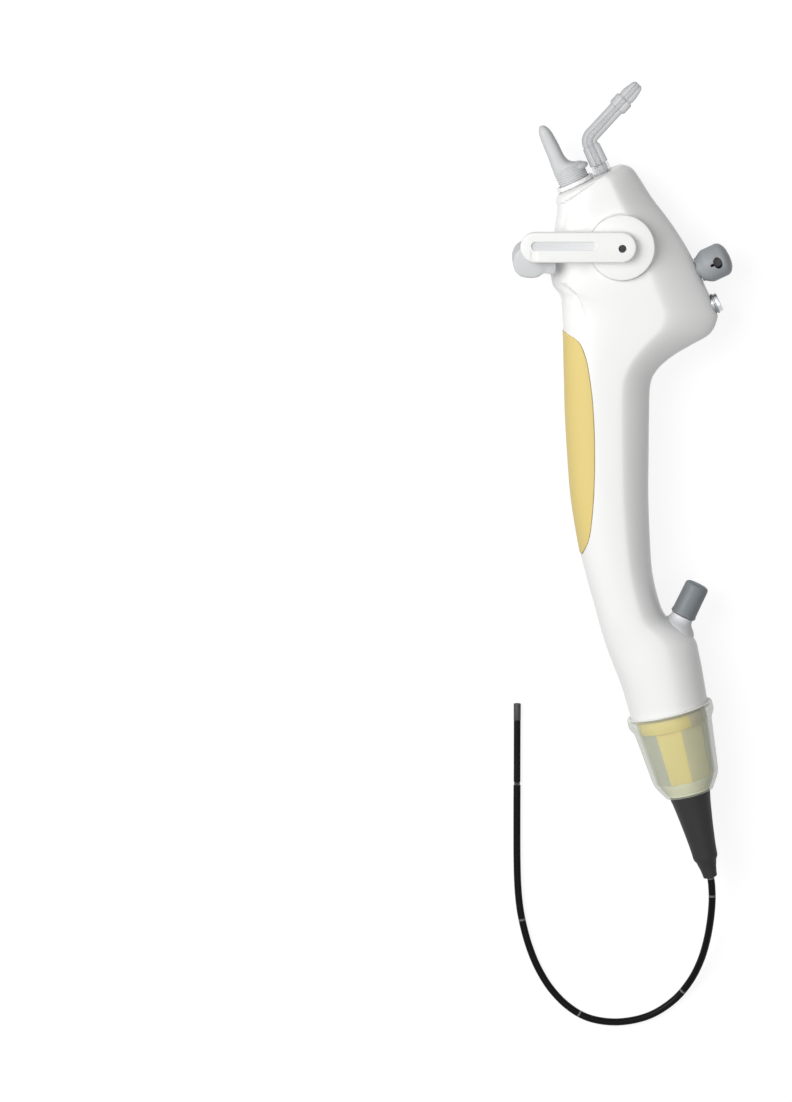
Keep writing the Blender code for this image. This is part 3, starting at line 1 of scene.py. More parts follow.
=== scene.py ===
"""Looks of a handheld flexible endoscope, laid out as an add-on with one operator for each piece.

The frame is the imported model's: X points to the finger side, Y to the head and Z up to the near side.
The instrument lies on its far side, on the floor at Z = 0. Vectors and properties are in metres. The
plain numbers of outlines, profiles, radii, heights and rounded edges are in millimetres.
"""
import json
import math
from itertools import accumulate

import bmesh
import bpy
from bpy.props import FloatProperty, FloatVectorProperty, PointerProperty
from mathutils import Matrix, Vector

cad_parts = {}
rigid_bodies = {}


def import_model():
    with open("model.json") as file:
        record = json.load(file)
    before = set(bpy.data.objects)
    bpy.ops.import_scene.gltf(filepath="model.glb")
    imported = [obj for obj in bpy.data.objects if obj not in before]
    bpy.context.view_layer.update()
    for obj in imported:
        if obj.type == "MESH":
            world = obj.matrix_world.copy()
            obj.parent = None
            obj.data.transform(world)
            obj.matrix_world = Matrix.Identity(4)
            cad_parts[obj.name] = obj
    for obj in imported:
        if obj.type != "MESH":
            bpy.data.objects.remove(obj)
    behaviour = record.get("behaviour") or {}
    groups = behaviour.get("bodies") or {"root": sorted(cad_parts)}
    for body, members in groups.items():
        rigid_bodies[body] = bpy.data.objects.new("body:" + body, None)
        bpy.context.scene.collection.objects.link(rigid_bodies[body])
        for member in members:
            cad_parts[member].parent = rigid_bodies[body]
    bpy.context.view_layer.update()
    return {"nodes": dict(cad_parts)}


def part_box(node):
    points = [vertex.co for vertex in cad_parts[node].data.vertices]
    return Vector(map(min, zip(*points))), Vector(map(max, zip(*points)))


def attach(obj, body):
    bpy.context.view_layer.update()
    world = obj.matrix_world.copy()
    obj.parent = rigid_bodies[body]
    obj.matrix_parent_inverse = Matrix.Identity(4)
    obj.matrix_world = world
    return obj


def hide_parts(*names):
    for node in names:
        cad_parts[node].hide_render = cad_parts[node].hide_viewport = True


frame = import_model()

bl_info = {
    "name": "Flexible endoscope looks",
    "version": (1, 0, 0),
    "blender": (4, 5, 0),
    "location": "View3D > Sidebar > Endoscope",
    "description": "Models and finishes the pieces of a handheld flexible endoscope",
    "category": "Object",
}

NODES = frame["nodes"]
MM = 0.001
SAME_PLACE = 0.0002 * MM

# Directions
HEAD_TILT = math.radians(25)
RING_TILT = math.radians(14)
PORT_TILT = math.radians(25.4)
U_AXIS = Vector((math.cos(HEAD_TILT), math.sin(HEAD_TILT), 0))
V_AXIS = Vector((-math.sin(HEAD_TILT), math.cos(HEAD_TILT), 0))
Y_AXIS = Vector((0, 1, 0))
Z_AXIS = Vector((0, 0, 1))
RING_AXIS = Vector((math.sin(RING_TILT), -math.cos(RING_TILT), 0))
PORT_AXIS = Vector((math.sin(PORT_TILT), math.cos(PORT_TILT), 0))
UPRIGHT = Matrix.Identity(4)

# Places shared by several pieces
MID_Z = 19.4 * MM
HEAD_TOP = 36.4
VALVE_U = -6.8
ELBOW_U = 6.2
SOCKET_V = -24.8
RECORD_V = -41.2
RING_ORIGIN = Vector((22.2 * MM, -204.8 * MM, MID_Z))
PORT_BASE = Vector((26.4 * MM, -168.1 * MM, MID_Z))
PIVOT_BORE_R = 2.8
PIVOT_BUSH_R = 4.3
BOOT_END = 79
END_X, END_Y, END_R = 22.7, -206.7, 17.3

# The outline of the handle seen from the near side, from the deck down: the back point's X and Y, the
# front point's X and Y, half the thickness, and how square the section is
STATIONS = [
    (-25.1, 22.9, 0.9, 34.5, 13.3, 3.0), (-26.5, 21.8, 4.6, 33.2, 14.6, 3.1),
    (-27.2, 19.6, 7.6, 29.6, 15.6, 3.2), (-27.7, 14.5, 13.9, 19.8, 16.6, 3.3),
    (-28.8, 6.6, 22.0, 9.2, 17.0, 3.4), (-30.1, -3.1, 30.0, -3.4, 17.0, 3.4),
    (-30.6, -11.0, 36.3, -16.6, 17.0, 3.4), (-29.6, -17.6, 41.9, -28.8, 17.0, 3.4),
    (-26.8, -22.0, 42.4, -33.2, 16.9, 3.3), (-25.5, -27.3, 39.2, -39.4, 16.7, 3.2),
    (-25.1, -34.8, 31.2, -44.2, 16.5, 3.1), (-24.7, -42.7, 23.3, -48.9, 16.3, 3.0),
    (-24.5, -51.5, 16.6, -54.8, 16.1, 2.9), (-24.2, -61.2, 13.4, -61.6, 16.0, 2.8),
    (-23.8, -75.7, 12.9, -75.7, 16.0, 2.7), (-22.7, -93.3, 12.8, -93.3, 16.0, 2.6),
    (-21.1, -112.2, 12.8, -111.3, 16.0, 2.6), (-17.6, -133.3, 13.6, -131.1, 15.8, 2.5),
    (-14.5, -146.1, 14.5, -143.0, 15.7, 2.5), (-11.4, -157.1, 16.6, -153.6, 15.7, 2.5),
    (-8.8, -166.8, 20.4, -163.7, 15.9, 2.4), (-7.0, -172.9, 27.9, -169.0, 16.2, 2.4),
    (-5.3, -178.2, 33.7, -174.8, 16.6, 2.3), (-2.6, -185.3, 35.6, -181.3, 17.0, 2.2),
    (1.6, -196.3, 37.4, -190.5, 17.3, 2.1),
    (END_X - END_R * math.cos(RING_TILT), END_Y - END_R * math.sin(RING_TILT),
     END_X + END_R * math.cos(RING_TILT), END_Y + END_R * math.sin(RING_TILT), END_R, 2.0),
]
LAST_ROW = len(STATIONS) - 1
# How far the near face falls off towards the finger side, by row of the outline
FALL_OFF = [(0, 0.42), (3, 0.54), (9, 0.56), (13, 0.34), (18, 0.24), (22, 0.16), (25, 0.0)]
FALL_START = 0.3
# Relief of the head: the deck's lip, the edge of the thumb's scoop and the turn to the back
LIP_HEIGHT = 0.9
SCOOP_DEPTH = 1.9
SCOOP_REACH = 10.0
TURN_DEPTH = 0.7
TURN_WIDTH = 1.1
SCOOP_EDGE = [(-29.5, -14.5), (-24.2, -17.5), (-19.8, -21.0), (-16.7, -28.1), (-13.6, -35.0)]
BACK_EDGE = [(-17.5, 24.0), (-21.3, 20.6), (-24.3, 15.6), (-25.9, 9.0), (-26.4, 3.0)]
GRIP_PAD_EDGE = [(-24.4, -38.0), (-18.7, -41.5), (-15.5, -48.5), (-13.5, -59.0), (-12.2, -71.0),
                 (-11.5, -86.0), (-11.5, -102.0), (-12.2, -116.0), (-13.6, -128.0), (-16.4, -135.8)]
TUBE_ROUTE = [
    (41.95, -286.0, 19.2), (42.2, -293.0, 17.9), (41.6, -302.5, 14.9), (40.2, -312.4, 11.0),
    (37.8, -321.9, 7.2), (33.7, -331.2, 4.2), (27.2, -339.9, 2.3), (18.2, -346.6, 1.7),
    (8.6, -350.0, 1.7), (-2.0, -350.9, 1.7), (-12.6, -348.8, 1.7), (-21.4, -343.5, 1.7),
    (-28.9, -335.6, 1.7), (-34.5, -326.4, 1.7), (-38.3, -317.2, 1.7), (-40.9, -308.2, 1.7),
    (-42.7, -299.2, 1.7), (-43.7, -289.0, 1.7), (-44.1, -277.0, 1.7), (-44.2, -260.0, 1.7),
    (-44.2, -243.2, 1.7)]
BEND_PIVOT = Vector((-44.2, -241.3, 1.7)) * MM
LINK_PITCH = 4.0
LINKS = range(1, 8)


def linear(red, green, blue):
    """A colour picked on a screen, as the shader wants it."""
    return tuple(((c / 255 + 0.055) / 1.055) ** 2.4 if c > 10 else c / 255 / 12.92
                 for c in (red, green, blue))


def colour_property(name, description, red, green, blue):
    return FloatVectorProperty(name=name, description=description, subtype="COLOR", size=3,
                               default=linear(red, green, blue), min=0, max=1)


def length_property(name, description, millimetres):
    return FloatProperty(name=name, description=description, unit="LENGTH", default=millimetres * MM,
                         min=0, precision=5)


class EndoscopeStage(bpy.types.PropertyGroup):
    camera_distance: FloatProperty(name="Camera distance", description="From the lens to the target",
                                   unit="LENGTH", default=2.694)
    camera_lens: FloatProperty(name="Lens", description="Focal length in millimetres", default=200.0)
    camera_lean: FloatProperty(name="Camera lean", description="How far the camera looks from the head side",
                               subtype="ANGLE", default=math.radians(8))
    sky: FloatProperty(name="Sky", description="Strength of the even light from all round", default=0.24)
    key_power: FloatProperty(name="Key light", description="Power of the soft light on the thumb side",
                             unit="POWER", default=18.0)
    top_power: FloatProperty(name="Top light", description="Power of the soft light above",
                             unit="POWER", default=4.6)


class EndoscopeColours(bpy.types.PropertyGroup):
    shell: colour_property("Shell", "Moulded plastic of the handle and lever", 243, 243, 242)
    soft: colour_property("Soft white", "Silicone of the suction button and thumb piece", 204, 206, 207)
    pad: colour_property("Grip pad", "Soft pad in the back of the grip", 224, 202, 126)
    cap: colour_property("Soft grey", "Cap of the working channel port", 116, 122, 127)
    socket: colour_property("Socket grey", "Cable socket on the finger face", 150, 154, 157)
    neck: colour_property("Light grey", "Neck of the working channel port", 216, 217, 219)
    boot: colour_property("Charcoal", "Boot below the rotation ring", 41, 41, 41)
    tube: colour_property("Tube", "Outer skin of the insertion tube", 6, 6, 7)
    ring: colour_property("Rotation ring", "Translucent plastic of the rotation ring", 200, 203, 188)
    core: colour_property("Core", "Bright core inside the rotation ring", 255, 234, 116)


class EndoscopeSizes(bpy.types.PropertyGroup):
    wall: length_property("Wall", "Wall of the handle's shells", 1.8)
    seam: length_property("Seam", "Half the gap where the two shells meet", 0.12)
    pad_proud: length_property("Pad height", "How far the grip pad stands above the shell", 0.25)
    pad_depth: length_property("Pad depth", "How far the grip pad is let into the shell", 1.0)
    tube_radius: length_property("Tube radius", "Outer radius of the insertion tube", 1.6)
    tube_length: length_property("Tube length", "Insertion tube from inside the boot to its last ring", 236.0)
    mark_step: length_property("Mark step", "Distance between two pale depth marks on the tube", 51.5)
    mark_width: length_property("Mark width", "Width of a pale depth mark", 0.9)


def colours():
    return bpy.context.scene.endoscope_colours


def sizes():
    return bpy.context.scene.endoscope_sizes


# Curves and places

def clamp(value):
    return min(1.0, max(0.0, value))


def signed_power(value, power):
    """A power that keeps the value's sign, for sections between round and square."""
    return math.copysign(abs(value) ** power, value)


def full_turn(count):
    """Even angles once round."""
    return [2 * math.pi * k / count for k in range(count)]


def glide(a, b, c, d, t):
    """A value between b and c on a smooth curve through four values."""
    return 0.5 * (2 * b + (c - a) * t + (2 * a - 5 * b + 4 * c - d) * t ** 2
                  + (3 * b - a - 3 * c + d) * t ** 3)


def smooth_line(points, steps, closed=False):
    """Points on a smooth curve through the given ones."""
    places = [Vector(p) for p in points]
    count = len(places)
    line = []
    for i in range(count if closed else count - 1):
        if closed:
            four = [places[(i + k) % count] for k in (-1, 0, 1, 2)]
        else:
            four = [places[min(max(i + k, 0), count - 1)] for k in (-1, 0, 1, 2)]
        line += [glide(*four, k / steps) for k in range(steps)]
    return line if closed else [*line, places[-1]]


def travelled(line):
    """The length along a line at each of its points."""
    return [0.0, *accumulate((q - p).length for p, q in zip(line, line[1:]))]


def head_point(u, v, above=0.0):
    """A point in the head's own directions, from the lever's pivot and the middle plane."""
    return U_AXIS * (u * MM) + V_AXIS * (v * MM) + Z_AXIS * (MID_Z + above * MM)


def axis_frame(origin, axis, turn=0.0):
    """A frame with its Z along the axis and its X towards world Z."""
    z_axis = axis.normalized()
    reference = Z_AXIS if abs(z_axis.z) < 0.9 else Vector((1, 0, 0))
    x_axis = (reference - z_axis * reference.dot(z_axis)).normalized()
    rotation = Matrix((x_axis, z_axis.cross(x_axis), z_axis)).transposed().to_4x4()
    return Matrix.Translation(origin) @ rotation @ Matrix.Rotation(turn, 4, "Z")


# The handle's skin

def station(row):
    """Back point, front point, half thickness and squareness at a row between the stations."""
    index = min(int(row), LAST_ROW - 1)
    four = [STATIONS[min(max(i, 0), LAST_ROW)] for i in range(index - 1, index + 3)]
    values = [glide(*column, row - index) for column in zip(*four)]
    return Vector(values[0:2]) * MM, Vector(values[2:4]) * MM, values[4] * MM, values[5]


def fall_off(row):
    """How far the near face falls off at a row."""
    for (first, value), (last, other) in zip(FALL_OFF, FALL_OFF[1:]):
        if row <= last:
            return value + (other - value) * (row - first) / (last - first)
    raise ValueError("a row past the handle's end")


def section(row, angles, grow=0.0):
    """Points round the handle: angle 0 is its front, 90 degrees its near face, 180 its back."""
    back, front, half, square = station(row)
    centre = (back + front) / 2
    across = (front - back) / 2
    across += across.normalized() * grow
    fall = fall_off(row)
    points = []
    for angle in angles:
        width = signed_power(math.cos(angle), 2 / square)
        height = signed_power(math.sin(angle), 2 / square)
        if height > 0:
            ramp = clamp((width - FALL_START) / (1 - FALL_START))
            height *= 1 - fall * ramp * ramp * 1.2 / (ramp + 0.2)
        flat = centre + across * width
        points.append(Vector((flat.x, flat.y, MID_Z + (half + grow) * height)))
    return points


def even_angles(row, side, count):
    """Angles that put the points of half a section at even steps along it."""
    fine = [side * math.pi * i / 240 for i in range(241)]
    lengths = travelled(section(row, fine))
    angles = [0.0]
    place = 0
    for i in range(1, count):
        wanted = lengths[-1] * i / count
        while lengths[place + 1] < wanted:
            place += 1
        share = (wanted - lengths[place]) / (lengths[place + 1] - lengths[place])
        angles.append(fine[place] + (fine[place + 1] - fine[place]) * share)
    return [*angles, side * math.pi]


def crease_distance(point, line):
    """Signed distance in millimetres to a line in the plane, and the share of the way along it."""
    x, y = point.x / MM, point.y / MM
    found = []
    for i, ((ax, ay), (bx, by)) in enumerate(zip(line, line[1:])):
        dx, dy = bx - ax, by - ay
        share = clamp(((x - ax) * dx + (y - ay) * dy) / (dx * dx + dy * dy))
        gap = math.hypot(x - ax - dx * share, y - ay - dy * share)
        side = math.copysign(1.0, dx * (y - ay) - dy * (x - ax))
        found.append((gap, side, (i + share) / (len(line) - 1)))
    gap, side, along = min(found, key=lambda entry: entry[0])
    return gap * side, along


def relief(point):
    """How far the head's skin stands above its plain form: the deck's lip, the scoop and the turn."""
    u, v = point.dot(U_AXIS) / MM, point.dot(V_AXIS) / MM
    lip = LIP_HEIGHT * clamp((v - 27.6 - (u + 16) * 0.17) / 0.6 + 0.5)
    if point.z < MID_Z + 2 * MM:
        return lip * MM
    gap, along = crease_distance(point, SCOOP_EDGE)
    fade = clamp((1 - along) * 2.2) * clamp(along * 5)
    scoop = SCOOP_DEPTH * fade * clamp((0.6 - gap) / 1.2) * clamp(1 + gap / SCOOP_REACH)
    gap, along = crease_distance(point, BACK_EDGE)
    turn = TURN_DEPTH * clamp(along * 4) * clamp((1 - along) * 3) * math.exp(-(gap / TURN_WIDTH) ** 2)
    return (lip - scoop - turn) * MM


def handle_skin(grow):
    """The closed form of the handle, moved out by some millimetres, to trim what sits on it."""
    rows = []
    for row in (k / 3 for k in range(LAST_ROW * 3 + 1)):
        near = even_angles(row, 1, 60)
        far = even_angles(row, -1, 60)
        rows.append(section(row, near, grow * MM) + section(row, far[-2:0:-1], grow * MM))
    return grid_surface(rows, cap=True)


# Shapes

def grid_surface(rows, cap=False):
    """A grid, closed round each row, that is moved onto the rows of points."""
    count = len(rows[0]) + 1
    shape = bmesh.new()
    bmesh.ops.create_grid(shape, x_segments=count - 1, y_segments=len(rows) - 1, size=1)
    shape.verts.ensure_lookup_table()
    for j, row in enumerate(rows):
        for i in range(count):
            shape.verts[j * count + i].co = row[i % len(row)]
    bmesh.ops.remove_doubles(shape, verts=shape.verts, dist=SAME_PLACE)
    if cap:
        rims = [edge for edge in shape.edges if edge.is_boundary]
        bmesh.ops.holes_fill(shape, edges=rims, sides=0)
    bmesh.ops.recalc_face_normals(shape, faces=shape.faces)
    return shape


def round_edges(shape, edges, width, segments, clamp_overlap=True):
    bmesh.ops.bevel(shape, geom=edges, offset=width * MM, segments=segments, profile=0.5, affect="EDGES",
                    material=-1, clamp_overlap=clamp_overlap)


def soften(shape, width, angle=28, segments=3):
    """Rounds the edges that are sharper than the angle."""
    limit = math.radians(angle)
    sharp = [edge for edge in shape.edges if len(edge.link_faces) == 2 and edge.calc_face_angle() > limit]
    round_edges(shape, sharp, width, segments)


def hollow(inner, outer, first, last):
    """The profile of a plain ring between two radii and two heights."""
    return [(inner, first), (outer, first), (outer, last), (inner, last)]


def turned(profile, matrix, steps=72, edge=0.0):
    """Spins a profile of (radius, height) points about the frame's Z and rounds its edges."""
    shape = bmesh.new()
    corners = [shape.verts.new((radius * MM, 0, height * MM)) for radius, height in profile]
    sides = [shape.edges.new(pair) for pair in zip(corners, corners[1:])]
    if profile[0][0] > 0 or profile[-1][0] > 0:
        sides.append(shape.edges.new((corners[-1], corners[0])))
    bmesh.ops.spin(shape, geom=corners + sides, cent=(0, 0, 0), axis=(0, 0, 1), angle=2 * math.pi,
                   steps=steps, use_merge=True)
    bmesh.ops.remove_doubles(shape, verts=shape.verts, dist=SAME_PLACE)
    bmesh.ops.recalc_face_normals(shape, faces=shape.faces)
    if edge:
        soften(shape, edge)
    bmesh.ops.transform(shape, matrix=matrix, verts=shape.verts)
    return shape


def ring_turned(profile, steps, edge=0.0, turn=0.0):
    """Spins a profile of (radius, distance down from the ring's origin)."""
    frame_down = axis_frame(RING_ORIGIN, -RING_AXIS, turn)
    return turned([(radius, -down) for radius, down in profile], frame_down, steps, edge)


def rod(start, end, radius, segments=48):
    shape = bmesh.new()
    bmesh.ops.create_cone(shape, cap_ends=True, segments=segments, radius1=radius * MM,
                          radius2=radius * MM, depth=(end - start).length)
    bmesh.ops.transform(shape, matrix=axis_frame((start + end) / 2, end - start), verts=shape.verts)
    return shape


def post(low, high, radius, segments=48):
    """A rod along the lever's pivot, between two heights above the floor."""
    return rod(Z_AXIS * (low * MM), Z_AXIS * (high * MM), radius, segments)


def plate(outline, low, high, edge=0.0, segments=3):
    """A flat outline raised from low to high, with its edges rounded."""
    shape = bmesh.new()
    face = shape.faces.new([shape.verts.new((x * MM, y * MM, low * MM)) for x, y in outline])
    raised = bmesh.ops.extrude_face_region(shape, geom=[face])["geom"]
    top = [item for item in raised if isinstance(item, bmesh.types.BMVert)]
    bmesh.ops.translate(shape, vec=(0, 0, (high - low) * MM), verts=top)
    bmesh.ops.recalc_face_normals(shape, faces=shape.faces)
    if edge:
        soften(shape, edge, 35, segments)
    return shape


def slot_outline(from_x, to_x, centre_y, half_width):
    """A slot with round ends: the left end's centre at from_x, the right end's at to_x."""
    points = []
    for centre_x, start in ((to_x, -90), (from_x, 90)):
        for i in range(25):
            angle = math.radians(start + 180 * i / 24)
            points.append((centre_x + half_width * math.cos(angle), centre_y + half_width * math.sin(angle)))
    return points


def new_object(name, data):
    obj = bpy.data.objects.new(name, data)
    bpy.context.scene.collection.objects.link(obj)
    return obj


def mesh_object(name, shape):
    mesh = bpy.data.meshes.new(name)
    shape.to_mesh(mesh)
    shape.free()
    return new_object(name, mesh)


def combined(shape, others, operation="DIFFERENCE"):
    """Cuts the others out of a shape, or joins them to it, and gives the result."""
    target = mesh_object("working", shape)
    tools = [mesh_object("working", other) for other in others]
    for tool in tools:
        step = target.modifiers.new("combine", "BOOLEAN")
        step.object = tool
        step.operation = operation
        step.solver = "EXACT"
    bpy.context.view_layer.update()
    mesh = bpy.data.meshes.new_from_object(target.evaluated_get(bpy.context.evaluated_depsgraph_get()))
    result = bmesh.new()
    result.from_mesh(mesh)
    bpy.data.meshes.remove(mesh)
    for obj in (target, *tools):
        old = obj.data
        bpy.data.objects.remove(obj, do_unlink=True)
        bpy.data.meshes.remove(old)
    if not result.faces:
        raise RuntimeError("a cut left nothing of the piece")
    return result


def add_piece(name, shape, materials, body, replaces=(), angle=30):
    """Turns a shape into a piece of the instrument that moves with a body."""
    piece = mesh_object(name, shape)
    piece.data.shade_smooth()
    piece.data.set_sharp_from_angle(angle=math.radians(angle))
    for material in materials:
        piece.data.materials.append(material)
    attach(piece, body)
    if replaces:
        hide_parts(*replaces)
    return piece


# Effects that several materials use

def add_node(tree, kind, **settings):
    node = tree.nodes.new(kind)
    for key, value in settings.items():
        setattr(node, key, value)
    return node


def feed(tree, socket, value):
    """Links another node's output to a socket, or sets the socket's own value."""
    if isinstance(value, bpy.types.NodeSocket):
        tree.links.new(value, socket)
    else:
        socket.default_value = value


def math_node(tree, operation, first, second, limited=False):
    """The result of a sum, kept between 0 and 1 where it is limited."""
    node = add_node(tree, "ShaderNodeMath", operation=operation, use_clamp=limited)
    feed(tree, node.inputs[0], first)
    feed(tree, node.inputs[1], second)
    return node.outputs[0]


def noise(tree, vector, scale, detail, roughness=0.5):
    node = add_node(tree, "ShaderNodeTexNoise")
    for label, value in (("Vector", vector), ("Scale", scale), ("Detail", detail), ("Roughness", roughness)):
        feed(tree, node.inputs[label], value)
    return node.outputs["Fac"]


def mixed(tree, share, first, second):
    node = add_node(tree, "ShaderNodeMix", data_type="RGBA")
    for number, value in ((0, share), (6, first), (7, second)):
        feed(tree, node.inputs[number], value)
    return node.outputs[2]


def effect_group(name, inputs, outputs):
    """An empty shader group with named sockets: (name, type, default) in, (name, type) out."""
    group = bpy.data.node_groups.new(name, "ShaderNodeTree")
    for label, kind, default in inputs:
        socket = group.interface.new_socket(name=label, in_out="INPUT", socket_type=kind)
        if default is not None:
            socket.default_value = default
    for label, kind in outputs:
        group.interface.new_socket(name=label, in_out="OUTPUT", socket_type=kind)
    return group, group.nodes.new("NodeGroupInput").outputs, group.nodes.new("NodeGroupOutput").inputs


def moulded_grain(name):
    """The fine sparkle texture of a moulding tool over the slow waviness of the wall."""
    group, given, out = effect_group(
        name,
        [("Coordinates", "NodeSocketVector", None), ("Grain Scale", "NodeSocketFloat", 2600.0),
         ("Grain", "NodeSocketFloat", 0.5), ("Waviness", "NodeSocketFloat", 0.5)],
        [("Height", "NodeSocketFloat")])
    fine = noise(group, given["Coordinates"], given["Grain Scale"], 2.0)
    slow = noise(group, given["Coordinates"], 45.0, 1.0)
    total = math_node(group, "ADD", math_node(group, "MULTIPLY", fine, given["Grain"]),
                      math_node(group, "MULTIPLY", slow, given["Waviness"]))
    group.links.new(total, out["Height"])
    return group


def handled_finish(name):
    """Slow changes of colour and gloss where hands and storage have touched the surface."""
    group, given, out = effect_group(
        name,
        [("Coordinates", "NodeSocketVector", None), ("Colour", "NodeSocketColor", (1, 1, 1, 1)),
         ("Soil Colour", "NodeSocketColor", (1, 1, 1, 1)), ("Soil", "NodeSocketFloat", 0.1),
         ("Gloss Scale", "NodeSocketFloat", 120.0), ("Roughness", "NodeSocketFloat", 0.4),
         ("Roughness Spread", "NodeSocketFloat", 0.08)],
        [("Colour", "NodeSocketColor"), ("Roughness", "NodeSocketFloat")])
    cloud = noise(group, given["Coordinates"], 70.0, 3.0, 0.6)
    share = math_node(group, "MULTIPLY", cloud, given["Soil"], limited=True)
    group.links.new(mixed(group, share, given["Colour"], given["Soil Colour"]), out["Colour"])
    streak = math_node(group, "SUBTRACT", noise(group, given["Coordinates"], given["Gloss Scale"], 4.0), 0.5)
    spread = math_node(group, "MULTIPLY", streak, given["Roughness Spread"])
    group.links.new(math_node(group, "ADD", given["Roughness"], spread, limited=True), out["Roughness"])
    return group


def edge_wear(name):
    """Rubbed edges, from how sharply the surface is bent."""
    group, given, out = effect_group(
        name,
        [("Colour", "NodeSocketColor", (1, 1, 1, 1)), ("Rubbed Colour", "NodeSocketColor", (1, 1, 1, 1)),
         ("Wear", "NodeSocketFloat", 0.3)],
        [("Colour", "NodeSocketColor")])
    bend = add_node(group, "ShaderNodeNewGeometry").outputs["Pointiness"]
    edge = math_node(group, "MULTIPLY", math_node(group, "SUBTRACT", bend, 0.52), 12.0, limited=True)
    share = math_node(group, "MULTIPLY", edge, given["Wear"], limited=True)
    group.links.new(mixed(group, share, given["Colour"], given["Rubbed Colour"]), out["Colour"])
    return group


def place_effect(tree, name, builder, **values):
    """Places a shared effect in a material with that material's own values."""
    node = add_node(tree, "ShaderNodeGroup", node_tree=bpy.data.node_groups.get(name) or builder(name))
    for label, value in values.items():
        feed(tree, node.inputs[label.replace("_", " ")], value)
    return node.outputs


# Finishes

def opaque(colour):
    return (*colour, 1.0)


def shade(colour, factor):
    return tuple(min(1.0, channel * factor) for channel in colour)


def finish(name, colour, roughness, grain=0.5, grain_scale=2600.0, depth=0.02, waviness=0.6, soil=0.12,
           soil_colour=None, wear=0.0, rubbed=None, spread=0.1, **shader_values):
    """A material for one of the object's finishes: colour, handling, grain and, where asked, rubbed edges."""
    if name in bpy.data.materials:
        return bpy.data.materials[name]
    material = bpy.data.materials.new(name)
    material.use_nodes = True
    tree = material.node_tree
    shader = tree.nodes["Principled BSDF"].inputs
    place = add_node(tree, "ShaderNodeTexCoord").outputs["Object"]
    base = colour(tree) if callable(colour) else opaque(colour)
    soiled = opaque(soil_colour or shade(colour, 0.82))
    handled = place_effect(tree, "Handled Finish", handled_finish, Coordinates=place, Colour=base,
                           Soil_Colour=soiled, Soil=soil, Roughness=roughness, Roughness_Spread=spread)
    surface = handled["Colour"]
    if wear:
        surface = place_effect(tree, "Edge Wear", edge_wear, Colour=surface, Rubbed_Colour=opaque(rubbed),
                               Wear=wear)["Colour"]
    tree.links.new(surface, shader["Base Color"])
    tree.links.new(handled["Roughness"], shader["Roughness"])
    texture = place_effect(tree, "Moulded Grain", moulded_grain, Coordinates=place, Grain_Scale=grain_scale,
                           Grain=grain, Waviness=waviness)
    bump = add_node(tree, "ShaderNodeBump")
    bump.inputs["Strength"].default_value = 0.5
    bump.inputs["Distance"].default_value = depth * MM
    tree.links.new(texture["Height"], bump.inputs["Height"])
    tree.links.new(bump.outputs["Normal"], shader["Normal"])
    for label, value in shader_values.items():
        shader[label.replace("_", " ")].default_value = value
    return material


def shell_plastic():
    return finish("white_moulded_plastic", colours().shell, 0.34, soil=0.05, soil_colour=(0.80, 0.80, 0.78),
                  Coat_Weight=0.12, Coat_Roughness=0.22)


# The groove's floor is painted greyer than the shell: painted shade in the recess.
def groove_painted_shade():
    return finish("groove_painted_shade", linear(226, 227, 228), 0.45, soil=0.15)


def soft_silicone():
    return finish("soft_white_silicone", colours().soft, 0.55, grain_scale=3200.0, depth=0.015, soil=0.1,
                  Sheen_Weight=0.08, Sheen_Roughness=0.5)


def pad_rubber():
    return finish("yellow_grip_rubber", colours().pad, 0.62, grain=0.9, grain_scale=2200.0, depth=0.035,
                  soil_colour=linear(222, 200, 112), Sheen_Weight=0.1)


def worn_rubber(name, colour, rubbed):
    """Grey rubber, paler where its edges are rubbed."""
    return finish(name, colour, 0.5, grain_scale=2800.0, soil=0.2, wear=0.25, rubbed=linear(*rubbed))


def cap_rubber():
    return worn_rubber("grey_soft_rubber", colours().cap, (196, 201, 205))


def socket_rubber():
    return worn_rubber("socket_soft_rubber", colours().socket, (204, 208, 210))


def boot_rubber():
    return finish("charcoal_boot_rubber", colours().boot, 0.58, grain=0.8, grain_scale=2400.0, depth=0.03,
                  soil=0.3, soil_colour=linear(60, 58, 57), wear=0.15, rubbed=linear(80, 77, 76),
                  Specular_IOR_Level=0.25)


def bending_rubber():
    return finish("bending_rubber", linear(10, 10, 11), 0.5, grain_scale=4200.0, depth=0.012, soil=0.2,
                  soil_colour=linear(18, 18, 19), Specular_IOR_Level=0.1)


def neck_plastic():
    return finish("light_grey_plastic", colours().neck, 0.42)


def dark_plastic():
    return finish("dark_plastic", linear(44, 44, 46), 0.45, soil=0.3, soil_colour=linear(64, 64, 66))


def board_lacquer():
    return finish("green_board_lacquer", linear(32, 104, 62), 0.35, grain=0.6, depth=0.03, soil=0.3,
                  soil_colour=linear(22, 78, 48))


def metal(name, colour, roughness, soil, soil_colour, spread=0.1):
    """Turned or drawn metal, with fine lines instead of a moulding's grain."""
    return finish(name, linear(*colour), roughness, grain=0.4, grain_scale=5200.0, depth=0.006, soil=soil,
                  soil_colour=linear(*soil_colour), spread=spread, Metallic=1.0)


def bright_steel():
    return metal("bright_steel", (206, 208, 210), 0.28, 0.25, (160, 163, 166), 0.16)


# Near-black steel; on the lever's screw it stands in for the shade in the sunk hole: painted shade.
def black_steel_and_painted_shade():
    return metal("blackened_steel_and_painted_shade", (58, 59, 61), 0.4, 0.3, (80, 80, 82))


def grey_metal():
    return metal("grey_rim_metal", (150, 153, 156), 0.38, 0.25, (120, 122, 125))


def warm_brass():
    return metal("turned_brass", (201, 167, 98), 0.34, 0.3, (150, 120, 70), 0.16)


